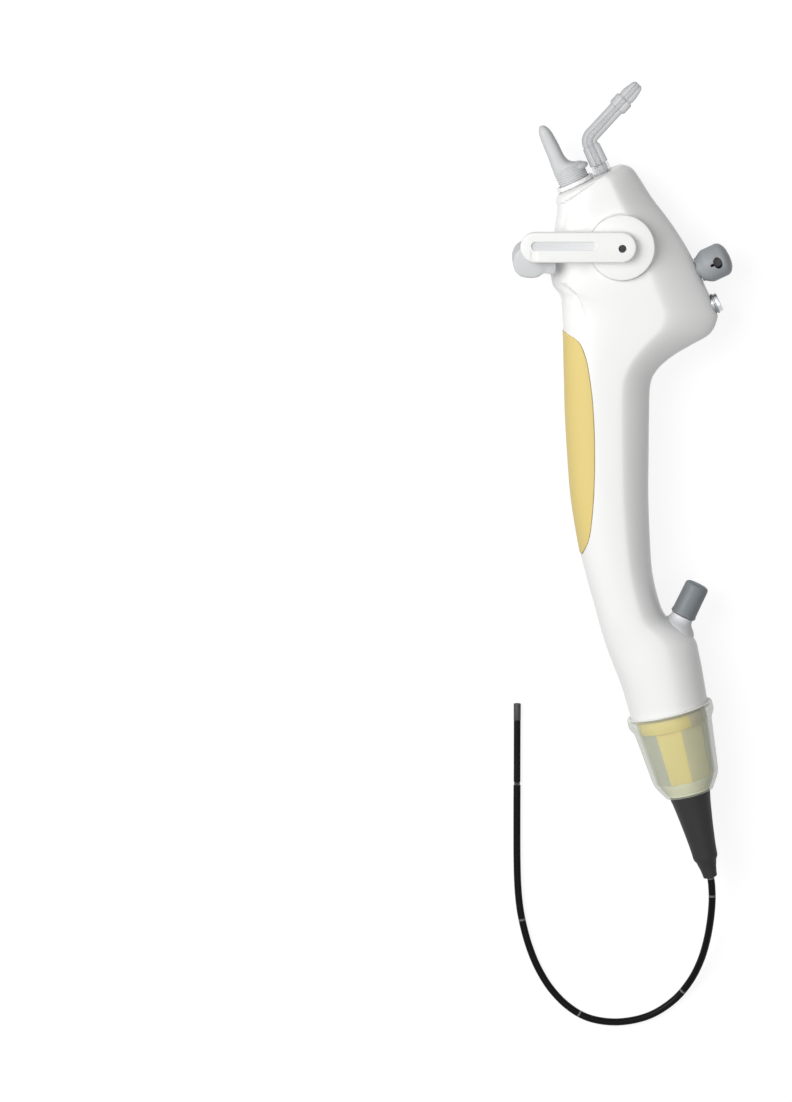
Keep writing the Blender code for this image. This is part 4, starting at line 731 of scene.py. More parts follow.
def see_through(name, colour, roughness, middle, edge_on, blend, shadow, **values):
    """A finish that lets what is behind it show.

    middle is how much the piece covers where it is seen straight on, edge_on is what an edge adds to
    that, and shadow is how dark its shadow is.
    """
    if name in bpy.data.materials:
        return bpy.data.materials[name]
    material = finish(name, colour, roughness, grain=0.0, waviness=0.0, **values)
    tree = material.node_tree
    edge = add_node(tree, "ShaderNodeLayerWeight")
    edge.inputs["Blend"].default_value = blend
    path = add_node(tree, "ShaderNodeLightPath")
    thick = math_node(tree, "MULTIPLY", edge.outputs["Facing"], edge_on)
    cover = math_node(tree, "ADD", thick, middle, limited=True)
    unlit = math_node(tree, "MULTIPLY", path.outputs["Is Shadow Ray"], 1 - shadow)
    lit = math_node(tree, "SUBTRACT", 1.0, unlit)
    alpha = tree.nodes["Principled BSDF"].inputs["Alpha"]
    tree.links.new(math_node(tree, "MULTIPLY", cover, lit), alpha)
    return material


def clear_finish(name, colour, **shares):
    return see_through(name, linear(*colour), 0.4, **shares, depth=0.002, soil=0.0, spread=0.0, IOR=1.53,
                       Specular_IOR_Level=0.3)


def clear_plastic():
    """Clear plastic that turns grey where the wall is seen edge-on."""
    return clear_finish("clear_moulded_plastic", (172, 174, 177), middle=0.3, edge_on=0.6, blend=0.3,
                        shadow=0.3)


def pale_clear_plastic():
    """The thin collar on the deck, which shows mostly what it holds."""
    return clear_finish("pale_clear_plastic", (236, 237, 238), middle=0.14, edge_on=0.5, blend=0.25,
                        shadow=0.2)


def ring_plastic():
    return see_through("translucent_ring_plastic", colours().ring, 0.4, middle=0.26, edge_on=0.2, blend=0.4,
                       shadow=0.25, depth=0.004, soil=0.15, soil_colour=linear(186, 189, 172), spread=0.06)


def rim_painted_highlight():
    """The ring's upper lip, paler and more opaque than the ring: a painted highlight along the rim."""
    return see_through("rim_painted_highlight_plastic", linear(244, 245, 240), 0.35, middle=0.6, edge_on=0.3, blend=0.4,
                       shadow=0.4, depth=0.004, soil=0.1, soil_colour=linear(226, 228, 216), spread=0.06)


def core_plastic():
    return finish("yellow_core_plastic", colours().core, 0.4, soil=0.15, soil_colour=linear(214, 204, 130))


# Order of the core's finishes: the yellow of the plastic, then the painted light and shade of its facets,
# lighter or darker by how light falls on each
YELLOW, GREY, KHAKI, PALE, BROWN = range(5)
FACET_PAINTED_SHADES = {"grey": (196, 198, 178), "khaki": (238, 230, 178), "pale": (255, 255, 222),
                 "brown": (226, 214, 176)}


def core_colour_and_painted_facets():
    facets = [finish(name + "_core_facet_painted_shade", linear(*colour), 0.4) for name, colour in FACET_PAINTED_SHADES.items()]
    return [core_plastic(), *facets]


def tube_skin(marks, width):
    """The black outer skin of the tube, with a pale ring at each of the marks, by length along its map."""
    def banded(tree):
        length = add_node(tree, "ShaderNodeSeparateXYZ")
        tree.links.new(add_node(tree, "ShaderNodeUVMap", uv_map="along").outputs[0], length.inputs[0])
        total = None
        for mark in marks:
            near = math_node(tree, "COMPARE", length.outputs["Y"], mark)
            near.node.inputs[2].default_value = width / 2
            total = math_node(tree, "MAXIMUM", total, near) if total else near
        return mixed(tree, total, opaque(colours().tube), opaque(linear(112, 112, 112)))
    return finish("black_tube_skin", banded, 0.36, grain_scale=4200.0, depth=0.01, soil=0.15,
                  soil_colour=linear(14, 14, 15), Specular_IOR_Level=0.09)


# Operators

class ENDOSCOPE_OT_stage(bpy.types.Operator):
    """Sets up the camera, the floor and the soft lights"""

    bl_idname = "endoscope.stage"
    bl_label = "Stage and camera"
    bl_options = {"REGISTER", "UNDO"}

    def execute(self, context):
        scene = context.scene
        stage = scene.endoscope_stage
        target = Vector((-98.1, -135.5, 19.4)) * MM
        heading = Vector((0, math.sin(stage.camera_lean), math.cos(stage.camera_lean)))
        lens = bpy.data.cameras.new("camera")
        lens.lens = stage.camera_lens
        lens.sensor_width = 36
        lens.clip_start = 0.1
        lens.clip_end = 20
        camera = new_object("camera", lens)
        camera.location = target + heading * stage.camera_distance
        camera.rotation_euler = Matrix.Rotation(-stage.camera_lean, 3, "X").to_euler()
        scene.camera = camera
        self.make_floor()
        self.make_sky(scene, stage.sky)
        self.make_lamp("key_light", Vector((-0.85, 0.42, 1.15)), 1.0, stage.key_power)
        self.make_lamp("top_light", Vector((0.15, -0.3, 1.6)), 1.2, stage.top_power)
        scene.view_settings.view_transform = "Standard"
        return {"FINISHED"}

    def make_lamp(self, name, offset, size, power):
        """A square soft light that looks at the middle of the handle."""
        light = bpy.data.lights.new(name, "AREA")
        light.shape = "SQUARE"
        light.size = size
        light.energy = power
        lamp = new_object(name, light)
        lamp.location = Vector((0, -130 * MM, MID_Z)) + offset
        lamp.rotation_euler = (-offset).to_track_quat("-Z", "Y").to_euler()

    def split_rays(self, tree, lighting, seen, output):
        """Lights with one shader, and shows another to the camera, in gloss and through glass."""
        path = add_node(tree, "ShaderNodeLightPath").outputs
        share = math_node(tree, "MAXIMUM", path["Is Camera Ray"], path["Is Glossy Ray"])
        share = math_node(tree, "MAXIMUM", share, path["Is Transmission Ray"])
        choice = add_node(tree, "ShaderNodeMixShader")
        for socket, source in zip(choice.inputs, (share, lighting, seen)):
            tree.links.new(source, socket)
        tree.links.new(choice.outputs[0], tree.nodes[output].inputs["Surface"])

    def matt_grey(self, tree, level):
        node = add_node(tree, "ShaderNodeBsdfDiffuse")
        node.inputs["Color"].default_value = (level, level, level, 1)
        return node.outputs[0]

    def make_floor(self):
        shape = bmesh.new()
        bmesh.ops.create_grid(shape, x_segments=4, y_segments=4, size=4)
        bmesh.ops.translate(shape, vec=(0, 0, -0.05 * MM), verts=shape.verts)
        floor = mesh_object("floor", shape)
        material = bpy.data.materials.new("pale_floor")
        material.use_nodes = True
        tree = material.node_tree
        tree.nodes.remove(tree.nodes["Principled BSDF"])
        glow = add_node(tree, "ShaderNodeEmission")
        glow.inputs["Strength"].default_value = 0.86
        paper = add_node(tree, "ShaderNodeAddShader")
        tree.links.new(self.matt_grey(tree, 0.20), paper.inputs[0])
        tree.links.new(glow.outputs[0], paper.inputs[1])
        self.split_rays(tree, self.matt_grey(tree, 0.38), paper.outputs[0], "Material Output")
        floor.data.materials.append(material)

    def make_sky(self, scene, strength):
        world = bpy.data.worlds.new("pale_room")
        world.use_nodes = True
        scene.world = world
        tree = world.node_tree
        even = tree.nodes["Background"]
        even.inputs["Color"].default_value = (1, 1, 1, 1)
        even.inputs["Strength"].default_value = strength
        white = add_node(tree, "ShaderNodeBackground")
        white.inputs["Color"].default_value = (1, 1, 1, 1)
        self.split_rays(tree, even.outputs[0], white.outputs[0], "World Output")


class ENDOSCOPE_OT_steerable_end(bpy.types.Operator):
    """Covers the links with their rubber sleeves and makes the tip"""

    bl_idname = "endoscope.steerable_end"
    bl_label = "Steerable end"
    bl_options = {"REGISTER", "UNDO"}

    def execute(self, context):
        outer, bore = 1.52, 1.37
        reach = math.sqrt(outer ** 2 - bore ** 2)
        drops = [reach * (k / 6 - 1) for k in range(7)]
        ball = [(math.sqrt(outer ** 2 - drop ** 2), drop) for drop in drops]
        cup = [(radius, LINK_PITCH - drop) for radius, drop in reversed(ball)]
        tip_end = [(outer, LINK_PITCH - 0.7), (bore, LINK_PITCH - 0.7)]
        for number in LINKS:
            pivot = BEND_PIVOT + Y_AXIS * (LINK_PITCH * (number - 1) * MM)
            profile = ball + (tip_end if number == LINKS[-1] else cup)
            sleeve = turned(profile, axis_frame(pivot, Y_AXIS), 40)
            add_piece(f"bend_sleeve_{number}", sleeve, [bending_rubber()], f"link_{number}")
        self.make_tip()
        return {"FINISHED"}

    def make_tip(self):
        """The tip with its camera window, its two lights and the mouth of its channel."""
        low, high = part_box("distal_tip")
        start, end = low[1] / MM, high[1] / MM
        matrix = axis_frame(Vector((BEND_PIVOT.x, 0, BEND_PIVOT.z)), Y_AXIS)
        tip = turned(hollow(0, 1.6, end, start), matrix, 48, 0.25)
        mouths = ((0, 0.62, 0.55, 1.2), (-1.02, 0.15, 0.33, 1.2), (1.02, 0.15, 0.33, 1.2), (0, -0.65, 0.6, 4))
        holes = []
        for across, up, radius, depth in mouths:
            middle = Vector((BEND_PIVOT.x + across * MM, high[1], BEND_PIVOT.z + up * MM))
            holes.append(rod(middle - Y_AXIS * (depth * MM), middle + Y_AXIS * MM, radius, 24))
        add_piece("tip_body", combined(tip, holes), [dark_plastic()], "link_7", ["distal_tip"])


class ENDOSCOPE_OT_insertion_tube(bpy.types.Operator):
    """Lays the insertion tube from inside the boot to its last ring"""

    bl_idname = "endoscope.insertion_tube"
    bl_label = "Insertion tube"
    bl_options = {"REGISTER", "UNDO"}

    def execute(self, context):
        size = sizes()
        steps = 8
        start = RING_ORIGIN + RING_AXIS * 63 * MM
        leave = RING_ORIGIN + RING_AXIS * BOOT_END * MM
        line = smooth_line([start, (start + leave) / 2, leave, *[Vector(p) * MM for p in TUBE_ROUTE]], steps)
        lengths = travelled(line)
        radius = size.tube_radius
        circle = [Vector((radius * math.cos(turn), radius * math.sin(turn), 0)) for turn in full_turn(32)]
        rows = []
        for i, place in enumerate(line):
            matrix = axis_frame(place, line[min(i + 1, len(line) - 1)] - line[max(i - 1, 0)])
            rows.append([matrix @ point for point in circle])
        shape = grid_surface(rows, cap=True)
        layer = shape.loops.layers.uv.new("along")
        for vert in shape.verts:
            length = min(zip(line, lengths), key=lambda entry: (entry[0] - vert.co).length_squared)[1]
            for loop in vert.link_loops:
                loop[layer].uv = (0.5, length)
        # The line's third point is the boot's end, and its marks are measured from there
        shown = lengths[2 * steps]
        marks = [shown + 0.5 * MM, *[shown + 8.6 * MM + k * size.mark_step for k in range(4)]]
        tube = add_piece("insertion_tube_skin", shape, [tube_skin(marks, size.mark_width)], "handle",
                         ["insertion_tube"])
        far_end = [NODES["tube_end_ring"], bpy.data.objects["tip_body"]]
        far_end += [bpy.data.objects[f"bend_sleeve_{k}"] for k in LINKS]
        far_end += [NODES[f"bending_link_{k}"] for k in LINKS]
        return {"FINISHED"}


class ENDOSCOPE_OT_handle_shells(bpy.types.Operator):
    """Lofts the two half shells of the handle and the pad in the back of the grip"""

    bl_idname = "endoscope.handle_shells"
    bl_label = "Handle shells and grip pad"
    bl_options = {"REGISTER", "UNDO"}

    def execute(self, context):
        size = sizes()
        # The holes for the axle, suction button, elbow, cable socket, record button and channel port
        openings = [
            (Vector((0, 0, -5 * MM)), Vector((0, 0, 45 * MM)), 4.6),
            (head_point(VALVE_U, 25), head_point(VALVE_U, 38), 7.9),
            (head_point(ELBOW_U, 25), head_point(ELBOW_U, 38), 3.95),
            (head_point(20, SOCKET_V), head_point(31, SOCKET_V), 4.2),
            (head_point(20, RECORD_V), head_point(31, RECORD_V), 4.4),
            (PORT_BASE - PORT_AXIS * 5.5 * MM, PORT_BASE + PORT_AXIS * 5.5 * MM, 4.9),
        ]
        for side, name, node in ((1, "near_shell", "housing_near"), (-1, "far_shell", "housing_far")):
            cutters = [rod(*opening) for opening in openings]
            if side > 0:
                cutters.append(turned(hollow(14.1, 14.75, 45, HEAD_TOP - 0.7), UPRIGHT, 96))
            cutters.append(self.pad_patch(2 * MM, size.pad_depth + 0.15 * MM, 0.22 * MM))
            shape = combined(self.half(side), cutters)
            add_piece(name, shape, [shell_plastic()], "handle", [node])
        pad = self.pad_patch(size.pad_proud, size.pad_depth, 0)
        soften(pad, 0.5, 50)
        add_piece("grip_pad", pad, [pad_rubber()], "handle", ["palm_pad"])
        return {"FINISHED"}

    def half(self, side):
        """One half shell, with the deck that closes it at the head."""
        wall = sizes().wall
        limit = MID_Z + side * sizes().seam
        count = 88
        steps = 5

        def parted(point):
            return Vector((point.x, point.y, max(point.z, limit) if side > 0 else min(point.z, limit)))

        def ring(row, grow, lift):
            points = section(row, even_angles(row, side, count), grow)
            return [parted(point) + V_AXIS * lift for point in points]

        def skin(row):
            angles = even_angles(row, side, count)
            pairs = zip(section(row, angles), section(row, angles, 1 * MM))
            return [parted(plain.lerp(raised, relief(plain) / MM)) for plain, raised in pairs]

        def across(points):
            return [points[0].lerp(points[-1], i / count) for i in range(count + 1)]

        outer_deck = ring(0, -5 * MM, 0.3 * MM)
        inner_deck = ring(0, -5 * MM, -wall)
        rows = [across(outer_deck) + across(inner_deck)[::-1],
                outer_deck + inner_deck[::-1],
                ring(0, -1.4 * MM, 0.28 * MM) + ring(0, -3.2 * MM, -wall)[::-1],
                ring(0, -0.3 * MM, 0.2 * MM) + ring(0, -2.6 * MM, -wall)[::-1]]
        for row in (k / steps for k in range(LAST_ROW * steps + 1)):
            drop = max(0.0, 1 - row / 2)
            inset = wall * (1 + 0.4 * min(1.0, drop * 2))
            rows.append(skin(row) + ring(row, -inset, -wall * drop)[::-1])
        return grid_surface(rows, cap=True)

    def pad_patch(self, outside, inside, spread):
        """The part of the handle's skin behind the pad's edge, between two distances from it."""
        edge = smooth_line(GRIP_PAD_EDGE, 12)
        first_y = GRIP_PAD_EDGE[0][1] * MM + spread
        last_y = GRIP_PAD_EDGE[-1][1] * MM - spread

        def row_at(y):
            low, high = 8.0, float(LAST_ROW)
            for _ in range(40):
                middle = (low + high) / 2
                if station(middle)[0].y > y:
                    low = middle
                else:
                    high = middle
            return low

        def edge_x(y):
            for p, q in zip(edge, edge[1:]):
                if q.y * MM <= y <= p.y * MM:
                    return (p.x + (q.x - p.x) * (p.y - y / MM) / max(p.y - q.y, 0.001)) * MM + spread
            return (edge[0].x if y > edge[0].y * MM else edge[-1].x) * MM + spread

        rows = []
        for k in range(73):
            row = row_at(first_y + (last_y - first_y) * k / 72)
            back, front, _, square = station(row)
            centre = (back + front) / 2
            across = (front - back) / 2
            width = -0.9
            for _ in range(12):
                width = (edge_x(centre.y + across.y * width) - centre.x) / across.x
                width = min(-0.2, max(-0.999, width))
            start = math.acos(-abs(width) ** (square / 2))
            angles = [start + (2 * math.pi - 2 * start) * i / 44 for i in range(45)]
            rows.append(section(row, angles, outside) + section(row, angles[::-1], -inside))
        return grid_surface(rows, cap=True)


class ENDOSCOPE_OT_lever(bpy.types.Operator):
    """Makes the boss, the control lever with its groove, its thumb piece, its screw and the far cap"""

    bl_idname = "endoscope.lever"
    bl_label = "Control lever"
    bl_options = {"REGISTER", "UNDO"}

    def execute(self, context):
        top = HEAD_TOP + 2.5
        disc = turned(hollow(PIVOT_BORE_R, 14.3, top, top - 4.0), UPRIGHT, 96, 0.55)
        disc = combined(disc, [handle_skin(0.05)])
        bush = turned(hollow(PIVOT_BORE_R, PIVOT_BUSH_R, top - 1, top - 8), UPRIGHT, 48, 0.1)
        disc = combined(disc, [bush], "UNION")
        add_piece("pivot_boss", disc, [shell_plastic()], "handle", ["pivot_disc"])
        far_cap = turned([(0, 1.2), (PIVOT_BORE_R, 1.2), (PIVOT_BORE_R, 6.2), (PIVOT_BUSH_R, 6.2),
                          (PIVOT_BUSH_R, 2.1), (13.5, 2.1), (13.5, 0), (0, 0)], UPRIGHT, 96, 0.45)
        add_piece("far_hub_cap", far_cap, [shell_plastic()], "handle", ["hub_cap"])
        self.make_arm(top + 0.3)
        self.make_thumb_piece(top)
        return {"FINISHED"}

    def make_arm(self, low):
        """The lever's arm between its low face and its top, and the screw in its sunk hole."""
        top = low + 4.2
        groove_depth = 0.75
        arm = plate(slot_outline(-37.5, -0.5, 0.5, 6.7), low, top, 0.9, 5)
        groove = plate(slot_outline(-37.6, -13.0, 1.1, 2.0), top - groove_depth, top + 1)
        floor = [edge for edge in groove.edges if all(v.co.z < top * MM for v in edge.verts)]
        round_edges(groove, floor, 0.25, 2, False)
        step = plate([(-39.8, -4.6), (-36.8, -4.6), (-36.8, -0.9), (-39.8, -0.9)], top - 0.35, top + 1)
        cutters = [groove, step, post(low + 1.3, top + 1, 1.75), post(low - 1, low + 1.2, PIVOT_BORE_R),
                   post(low - 1, top + 1, 0.8)]
        piece = add_piece("control_lever", combined(arm, cutters), [shell_plastic(), groove_painted_shade()],
                          "lever", ["lever_arm"])
        # The groove's floor faces get the greyer plastic: painted shade in the recess.
        for face in piece.data.polygons:
            depth = top - face.center.z / MM
            if face.center.x < -10 * MM and 0.45 < depth < groove_depth + 0.05:
                face.material_index = 1
        # The screw head is near-black to stand in for the shade in its sunk hole: painted shade.
        screw = turned([(0, top - 1.3), (1.45, top - 1.3), (1.45, top - 2.6), (0.7, top - 2.6),
                        (0.7, top - 7.6), (0, top - 7.6)], UPRIGHT, 48, 0.12)
        drive = post(top - 2.1, top, 0.75, 6)
        add_piece("lever_screw_head", combined(screw, [drive]), [black_steel_and_painted_shade()], "lever",
                  ["lever_screw"])

    def make_thumb_piece(self, top):
        """The thumb piece behind the arm's end, with the web that joins it to the arm's far face."""
        outline = smooth_line([(-39.0, 0.9), (-43.0, 0.4), (-46.0, -2.2), (-47.2, -6.0), (-46.6, -9.8),
                               (-44.0, -12.4), (-40.0, -13.2), (-36.6, -12.8)], 5)
        swing_r = 35.4
        for i in range(13):
            angle = math.radians(198 - 18.4 * i / 12)
            outline.append((swing_r * math.cos(angle), swing_r * math.sin(angle)))
        pad = plate(outline, 6.5, top, 1.4, 5)
        web = smooth_line([(-38.5, -4.0), (-33.0, -4.5), (-29.2, -5.5), (-28.6, -9.0), (-29.6, -11.6),
                           (-33.4, -11.0), (-36.2, -12.0), (-38.6, -10.5)], 4, closed=True)
        pad = combined(pad, [plate(web, 37.0, top - 0.1, 0.5)], "UNION")
        add_piece("thumb_piece", pad, [soft_silicone()], "lever", ["thumb_pad"], angle=40)


class ENDOSCOPE_OT_suction_button(bpy.types.Operator):
    """Makes the horned suction button with its ribbed foot, and the seat round it"""

    bl_idname = "endoscope.suction_button"
    bl_label = "Suction button"
    bl_options = {"REGISTER", "UNDO"}

    def execute(self, context):
        matrix = axis_frame(head_point(VALVE_U, 0), V_AXIS)
        seat = turned([(7.15, 33.6), (8.6, 33.6), (8.6, 31.8), (7.7, 31.8), (7.7, 26.4), (5.3, 26.4),
                       (5.3, 27.4), (7.15, 27.4)], matrix, edge=0.25)
        add_piece("button_seat", seat, [shell_plastic()], "handle", ["valve_seat"])
        rib_r, waist_r = 6.9, 6.55
        profile = [(0, 40.9), (5.4, 40.9), (6.5, 40.4)]
        for top in (40.2 - k for k in range(6)):
            profile += [(rib_r, top - 0.1), (rib_r, top - 0.45), (waist_r, top - 0.62), (waist_r, top - 0.85)]
        profile += [(rib_r, 34.0), (6.6, 33.9), (6.6, 31.6), (1.7, 31.6), (1.7, 34.6), (0, 34.6)]
        foot = turned(profile, matrix, edge=0.1)
        button = combined(foot, [self.horn()], "UNION")
        add_piece("horned_button", button, [soft_silicone()], "button", ["suction_button"],
                  angle=45)
        return {"FINISHED"}

    def horn(self):
        """A horn that leans back, lofted along V: place, back edge, front edge and half width across."""
        levels = [(36.9, -13.0, 0.2, 4.4), (37.3, -13.3, 1.3, 5.2), (38.2, -13.5, 1.8, 5.7),
                  (39.3, -13.5, 1.2, 5.8), (40.5, -13.5, -1.4, 5.7), (41.7, -13.4, -3.8, 5.5),
                  (43.1, -13.3, -5.3, 5.3), (45.2, -13.1, -6.0, 5.1), (47.4, -12.9, -6.2, 5.0),
                  (50.0, -12.8, -6.2, 4.8), (54.0, -12.6, -6.4, 4.6), (57.0, -12.4, -6.7, 4.4),
                  (59.0, -12.0, -7.2, 4.0), (60.3, -11.5, -7.9, 3.2), (61.2, -10.9, -8.7, 2.1),
                  (61.5, -10.2, -9.5, 0.8)]
        rows = []
        for v, back, front, half in smooth_line(levels, 4):
            centre, reach = (back + front) / 2, (front - back) / 2
            rows.append([head_point(centre + reach * signed_power(math.cos(turn), 0.78), v,
                                    half * signed_power(math.sin(turn), 0.78)) for turn in full_turn(48)])
        return grid_surface(rows, cap=True)


class ENDOSCOPE_OT_suction_elbow(bpy.types.Operator):
    """Makes the clear elbow with its bead and nozzle, and the clear collar on the deck"""

    bl_idname = "endoscope.suction_elbow"
    bl_label = "Suction elbow"
    bl_options = {"REGISTER", "UNDO"}

    def execute(self, context):
        collar = turned([(2.9, 35.0), (3.9, 35.0), (3.9, 31.8), (3.6, 31.8), (3.6, 24.0), (2.9, 24.0)],
                        axis_frame(head_point(ELBOW_U, 0), V_AXIS), 60, 0.15)
        add_piece("clear_collar", collar, [pale_clear_plastic()], "handle", ["elbow_socket"])
        rings = self.path_rings()
        rows = [self.ring(place, along, outer) for place, along, outer, _ in rings]
        rows += [self.ring(place, along, bore) for place, along, _, bore in reversed(rings)]
        shape = grid_surface([*rows, rows[0]])
        add_piece("clear_elbow", shape, [clear_plastic()], "elbow", ["suction_elbow"], angle=38)
        return {"FINISHED"}

    def path_rings(self):
        """The elbow's wall along its path: place, direction, outer radius and bore."""
        rise = math.radians(22.4)
        heading = U_AXIS * math.cos(rise) + V_AXIS * math.sin(rise)
        outward = (heading - V_AXIS * heading.dot(V_AXIS)).normalized()
        turn = math.radians(90) - rise
        bend_radius = 3.9 * MM
        bore = 1.5
        corner = head_point(ELBOW_U, 47.6)
        centre = corner - V_AXIS * bend_radius * math.tan(turn / 2) + outward * bend_radius
        rings = [(head_point(ELBOW_U, v), V_AXIS, outer, bore)
                 for v, outer in ((25.0, 2.6), (35.3, 2.6), (35.5, 2.9), (35.7, 3.9), (36.1, 4.05),
                                  (40.0, 4.0), (43.6, 3.9), (44.2, 3.75), (44.5, 3.35))]
        for angle in (turn * k / 10 for k in range(11)):
            place = centre + (V_AXIS * math.sin(angle) - outward * math.cos(angle)) * bend_radius
            rings.append((place, V_AXIS * math.cos(angle) + outward * math.sin(angle), 3.35, bore))
        nozzle = ((5.0, 3.3, 1.4), (12.0, 3.3, 1.3), (17.9, 3.3, 1.2), (18.3, 3.45, 1.2), (18.6, 3.9, 1.2),
                  (19.0, 4.15, 1.2), (19.6, 4.2, 1.2), (22.6, 4.2, 1.2), (23.2, 4.15, 1.2), (23.6, 3.9, 1.2),
                  (23.9, 3.4, 1.2), (24.2, 3.2, 1.2), (24.6, 3.4, 1.2), (25.0, 3.5, 1.2), (27.0, 3.45, 1.2),
                  (30.2, 2.9, 1.15), (31.4, 2.6, 1.15), (32.2, 2.1, 1.15), (32.6, 1.45, 1.15))
        return rings + [(corner + heading * t * MM, heading, outer, inner) for t, outer, inner in nozzle]

    def ring(self, place, along, radius):
        side = Z_AXIS.cross(along)
        return [place + (side * math.cos(t) + Z_AXIS * math.sin(t)) * radius * MM for t in full_turn(48)]


class ENDOSCOPE_OT_finger_face(bpy.types.Operator):
    """Makes the cable socket with its keyed hole, and the record button in its bezel"""

    bl_idname = "endoscope.finger_face"
    bl_label = "Cable socket and record button"
    bl_options = {"REGISTER", "UNDO"}

    def execute(self, context):
        self.make_socket()
        matrix = axis_frame(head_point(0, RECORD_V), U_AXIS)
        rim = turned([(3.8, 27.0), (4.6, 27.0), (4.6, 26.15), (4.1, 26.15), (4.1, 20.0), (2.2, 20.0),
                      (2.2, 21.0), (3.8, 21.0)], matrix, 60, 0.2)
        add_piece("button_rim", rim, [grey_metal()], "handle", ["button_bezel"])
        button = turned([(0, 28.7), (1.6, 28.7), (2.9, 28.65), (3.2, 28.4), (3.4, 28.4), (3.6, 28.8),
                         (3.9, 28.8), (4.15, 28.5), (4.2, 28.0), (4.2, 27.0), (4.0, 26.8), (3.5, 26.8),
                         (3.5, 22.1), (1.4, 22.1), (1.4, 20.9), (0, 20.9)], matrix, 60, 0.08)
        add_piece("record_button_face", button, [bright_steel()], "record", ["record_button"])
        return {"FINISHED"}

    def make_socket(self):
        """The round boss, with an oval hole and its key cut in from the near side."""
        profile = [(0, 41.0), (1.6, 40.9), (3.2, 40.7), (4.8, 40.25), (6.2, 39.4), (7.0, 38.6), (7.5, 37.4),
                   (7.5, 30.8), (7.3, 29.9), (6.6, 28.6), (5.9, 27.6), (5.5, 26.95), (5.3, 26.15),
                   (3.9, 26.1), (3.9, 18.5), (0, 18.5)]
        knob = turned(profile, axis_frame(head_point(0, SOCKET_V), U_AXIS), 80, 0.1)
        hole = post(MID_Z / MM + 1.5, MID_Z / MM + 9, 2.3)
        centre = head_point(35.0, SOCKET_V)
        self.set_in_head(hole, (0.85, 1.12, 1), (centre.x, centre.y, 0))
        key = bmesh.new()
        bmesh.ops.create_cube(key, size=1)
        self.set_in_head(key, (3.4 * MM, 1.2 * MM, 7.5 * MM), head_point(33.3, SOCKET_V, 5.25))
        piece = add_piece("cable_socket_boss", combined(knob, [hole, key]), [socket_rubber(), dark_plastic()],
                          "socket", ["cable_socket"])
        for face in piece.data.polygons:
            from_centre = (face.center.xy - centre.xy).length
            above = (face.center.z - MID_Z) / MM
            if from_centre < 3.6 * MM and 1 < above < 7.3 and abs(face.normal.z) < 0.6:
                face.material_index = 1

    def set_in_head(self, shape, scale, place):
        """Scales a shape, turns it to the head's directions and puts it in its place."""
        turn = Matrix.Rotation(HEAD_TILT, 3, "Z")
        bmesh.ops.scale(shape, vec=scale, verts=shape.verts)
        bmesh.ops.rotate(shape, cent=(0, 0, 0), matrix=turn, verts=shape.verts)
        bmesh.ops.translate(shape, vec=place, verts=shape.verts)


class ENDOSCOPE_OT_port(bpy.types.Operator):
    """Makes the neck of the working channel port and its cap"""

    bl_idname = "endoscope.port"
    bl_label = "Channel port"
    bl_options = {"REGISTER", "UNDO"}

    def execute(self, context):
        matrix = axis_frame(PORT_BASE, PORT_AXIS)
        shank_r, shank_low, channel_r = 4.6, -5.5, 1.6
        flare = smooth_line([(5.0, 4.2), (5.0, 3.2), (5.3, 2.2), (5.9, 1.3), (6.7, 0.5), (7.5, -0.3),
                             (8.4, -1.6)], 4)
        profile = [(2.9, 15.6), (2.9, 4.2), *flare, (8.4, -3.0), (shank_r, -3.0), (shank_r, shank_low),
                   (channel_r, shank_low), (channel_r, 15.6)]
        neck = combined(turned(profile, matrix, edge=0.15), [handle_skin(0.03)])
        shank = turned(hollow(channel_r, shank_r, 3.0, shank_low), matrix, 48)
        neck = combined(neck, [shank], "UNION")
        add_piece("channel_port_neck", neck, [neck_plastic()], "handle", ["port_neck"])
        cap = turned([(0, 20.0), (2.6, 19.98), (4.0, 19.85), (4.8, 19.5), (5.25, 18.9), (5.4, 18.0),
                      (5.42, 12.0), (5.5, 6.4), (5.7, 5.4), (5.75, 4.8), (5.5, 4.5), (3.2, 4.5),
                      (3.2, 15.9), (0, 15.9)], matrix, edge=0.1)
        add_piece("channel_port_cap", cap, [cap_rubber()], "cap", ["port_cap"])
        return {"FINISHED"}


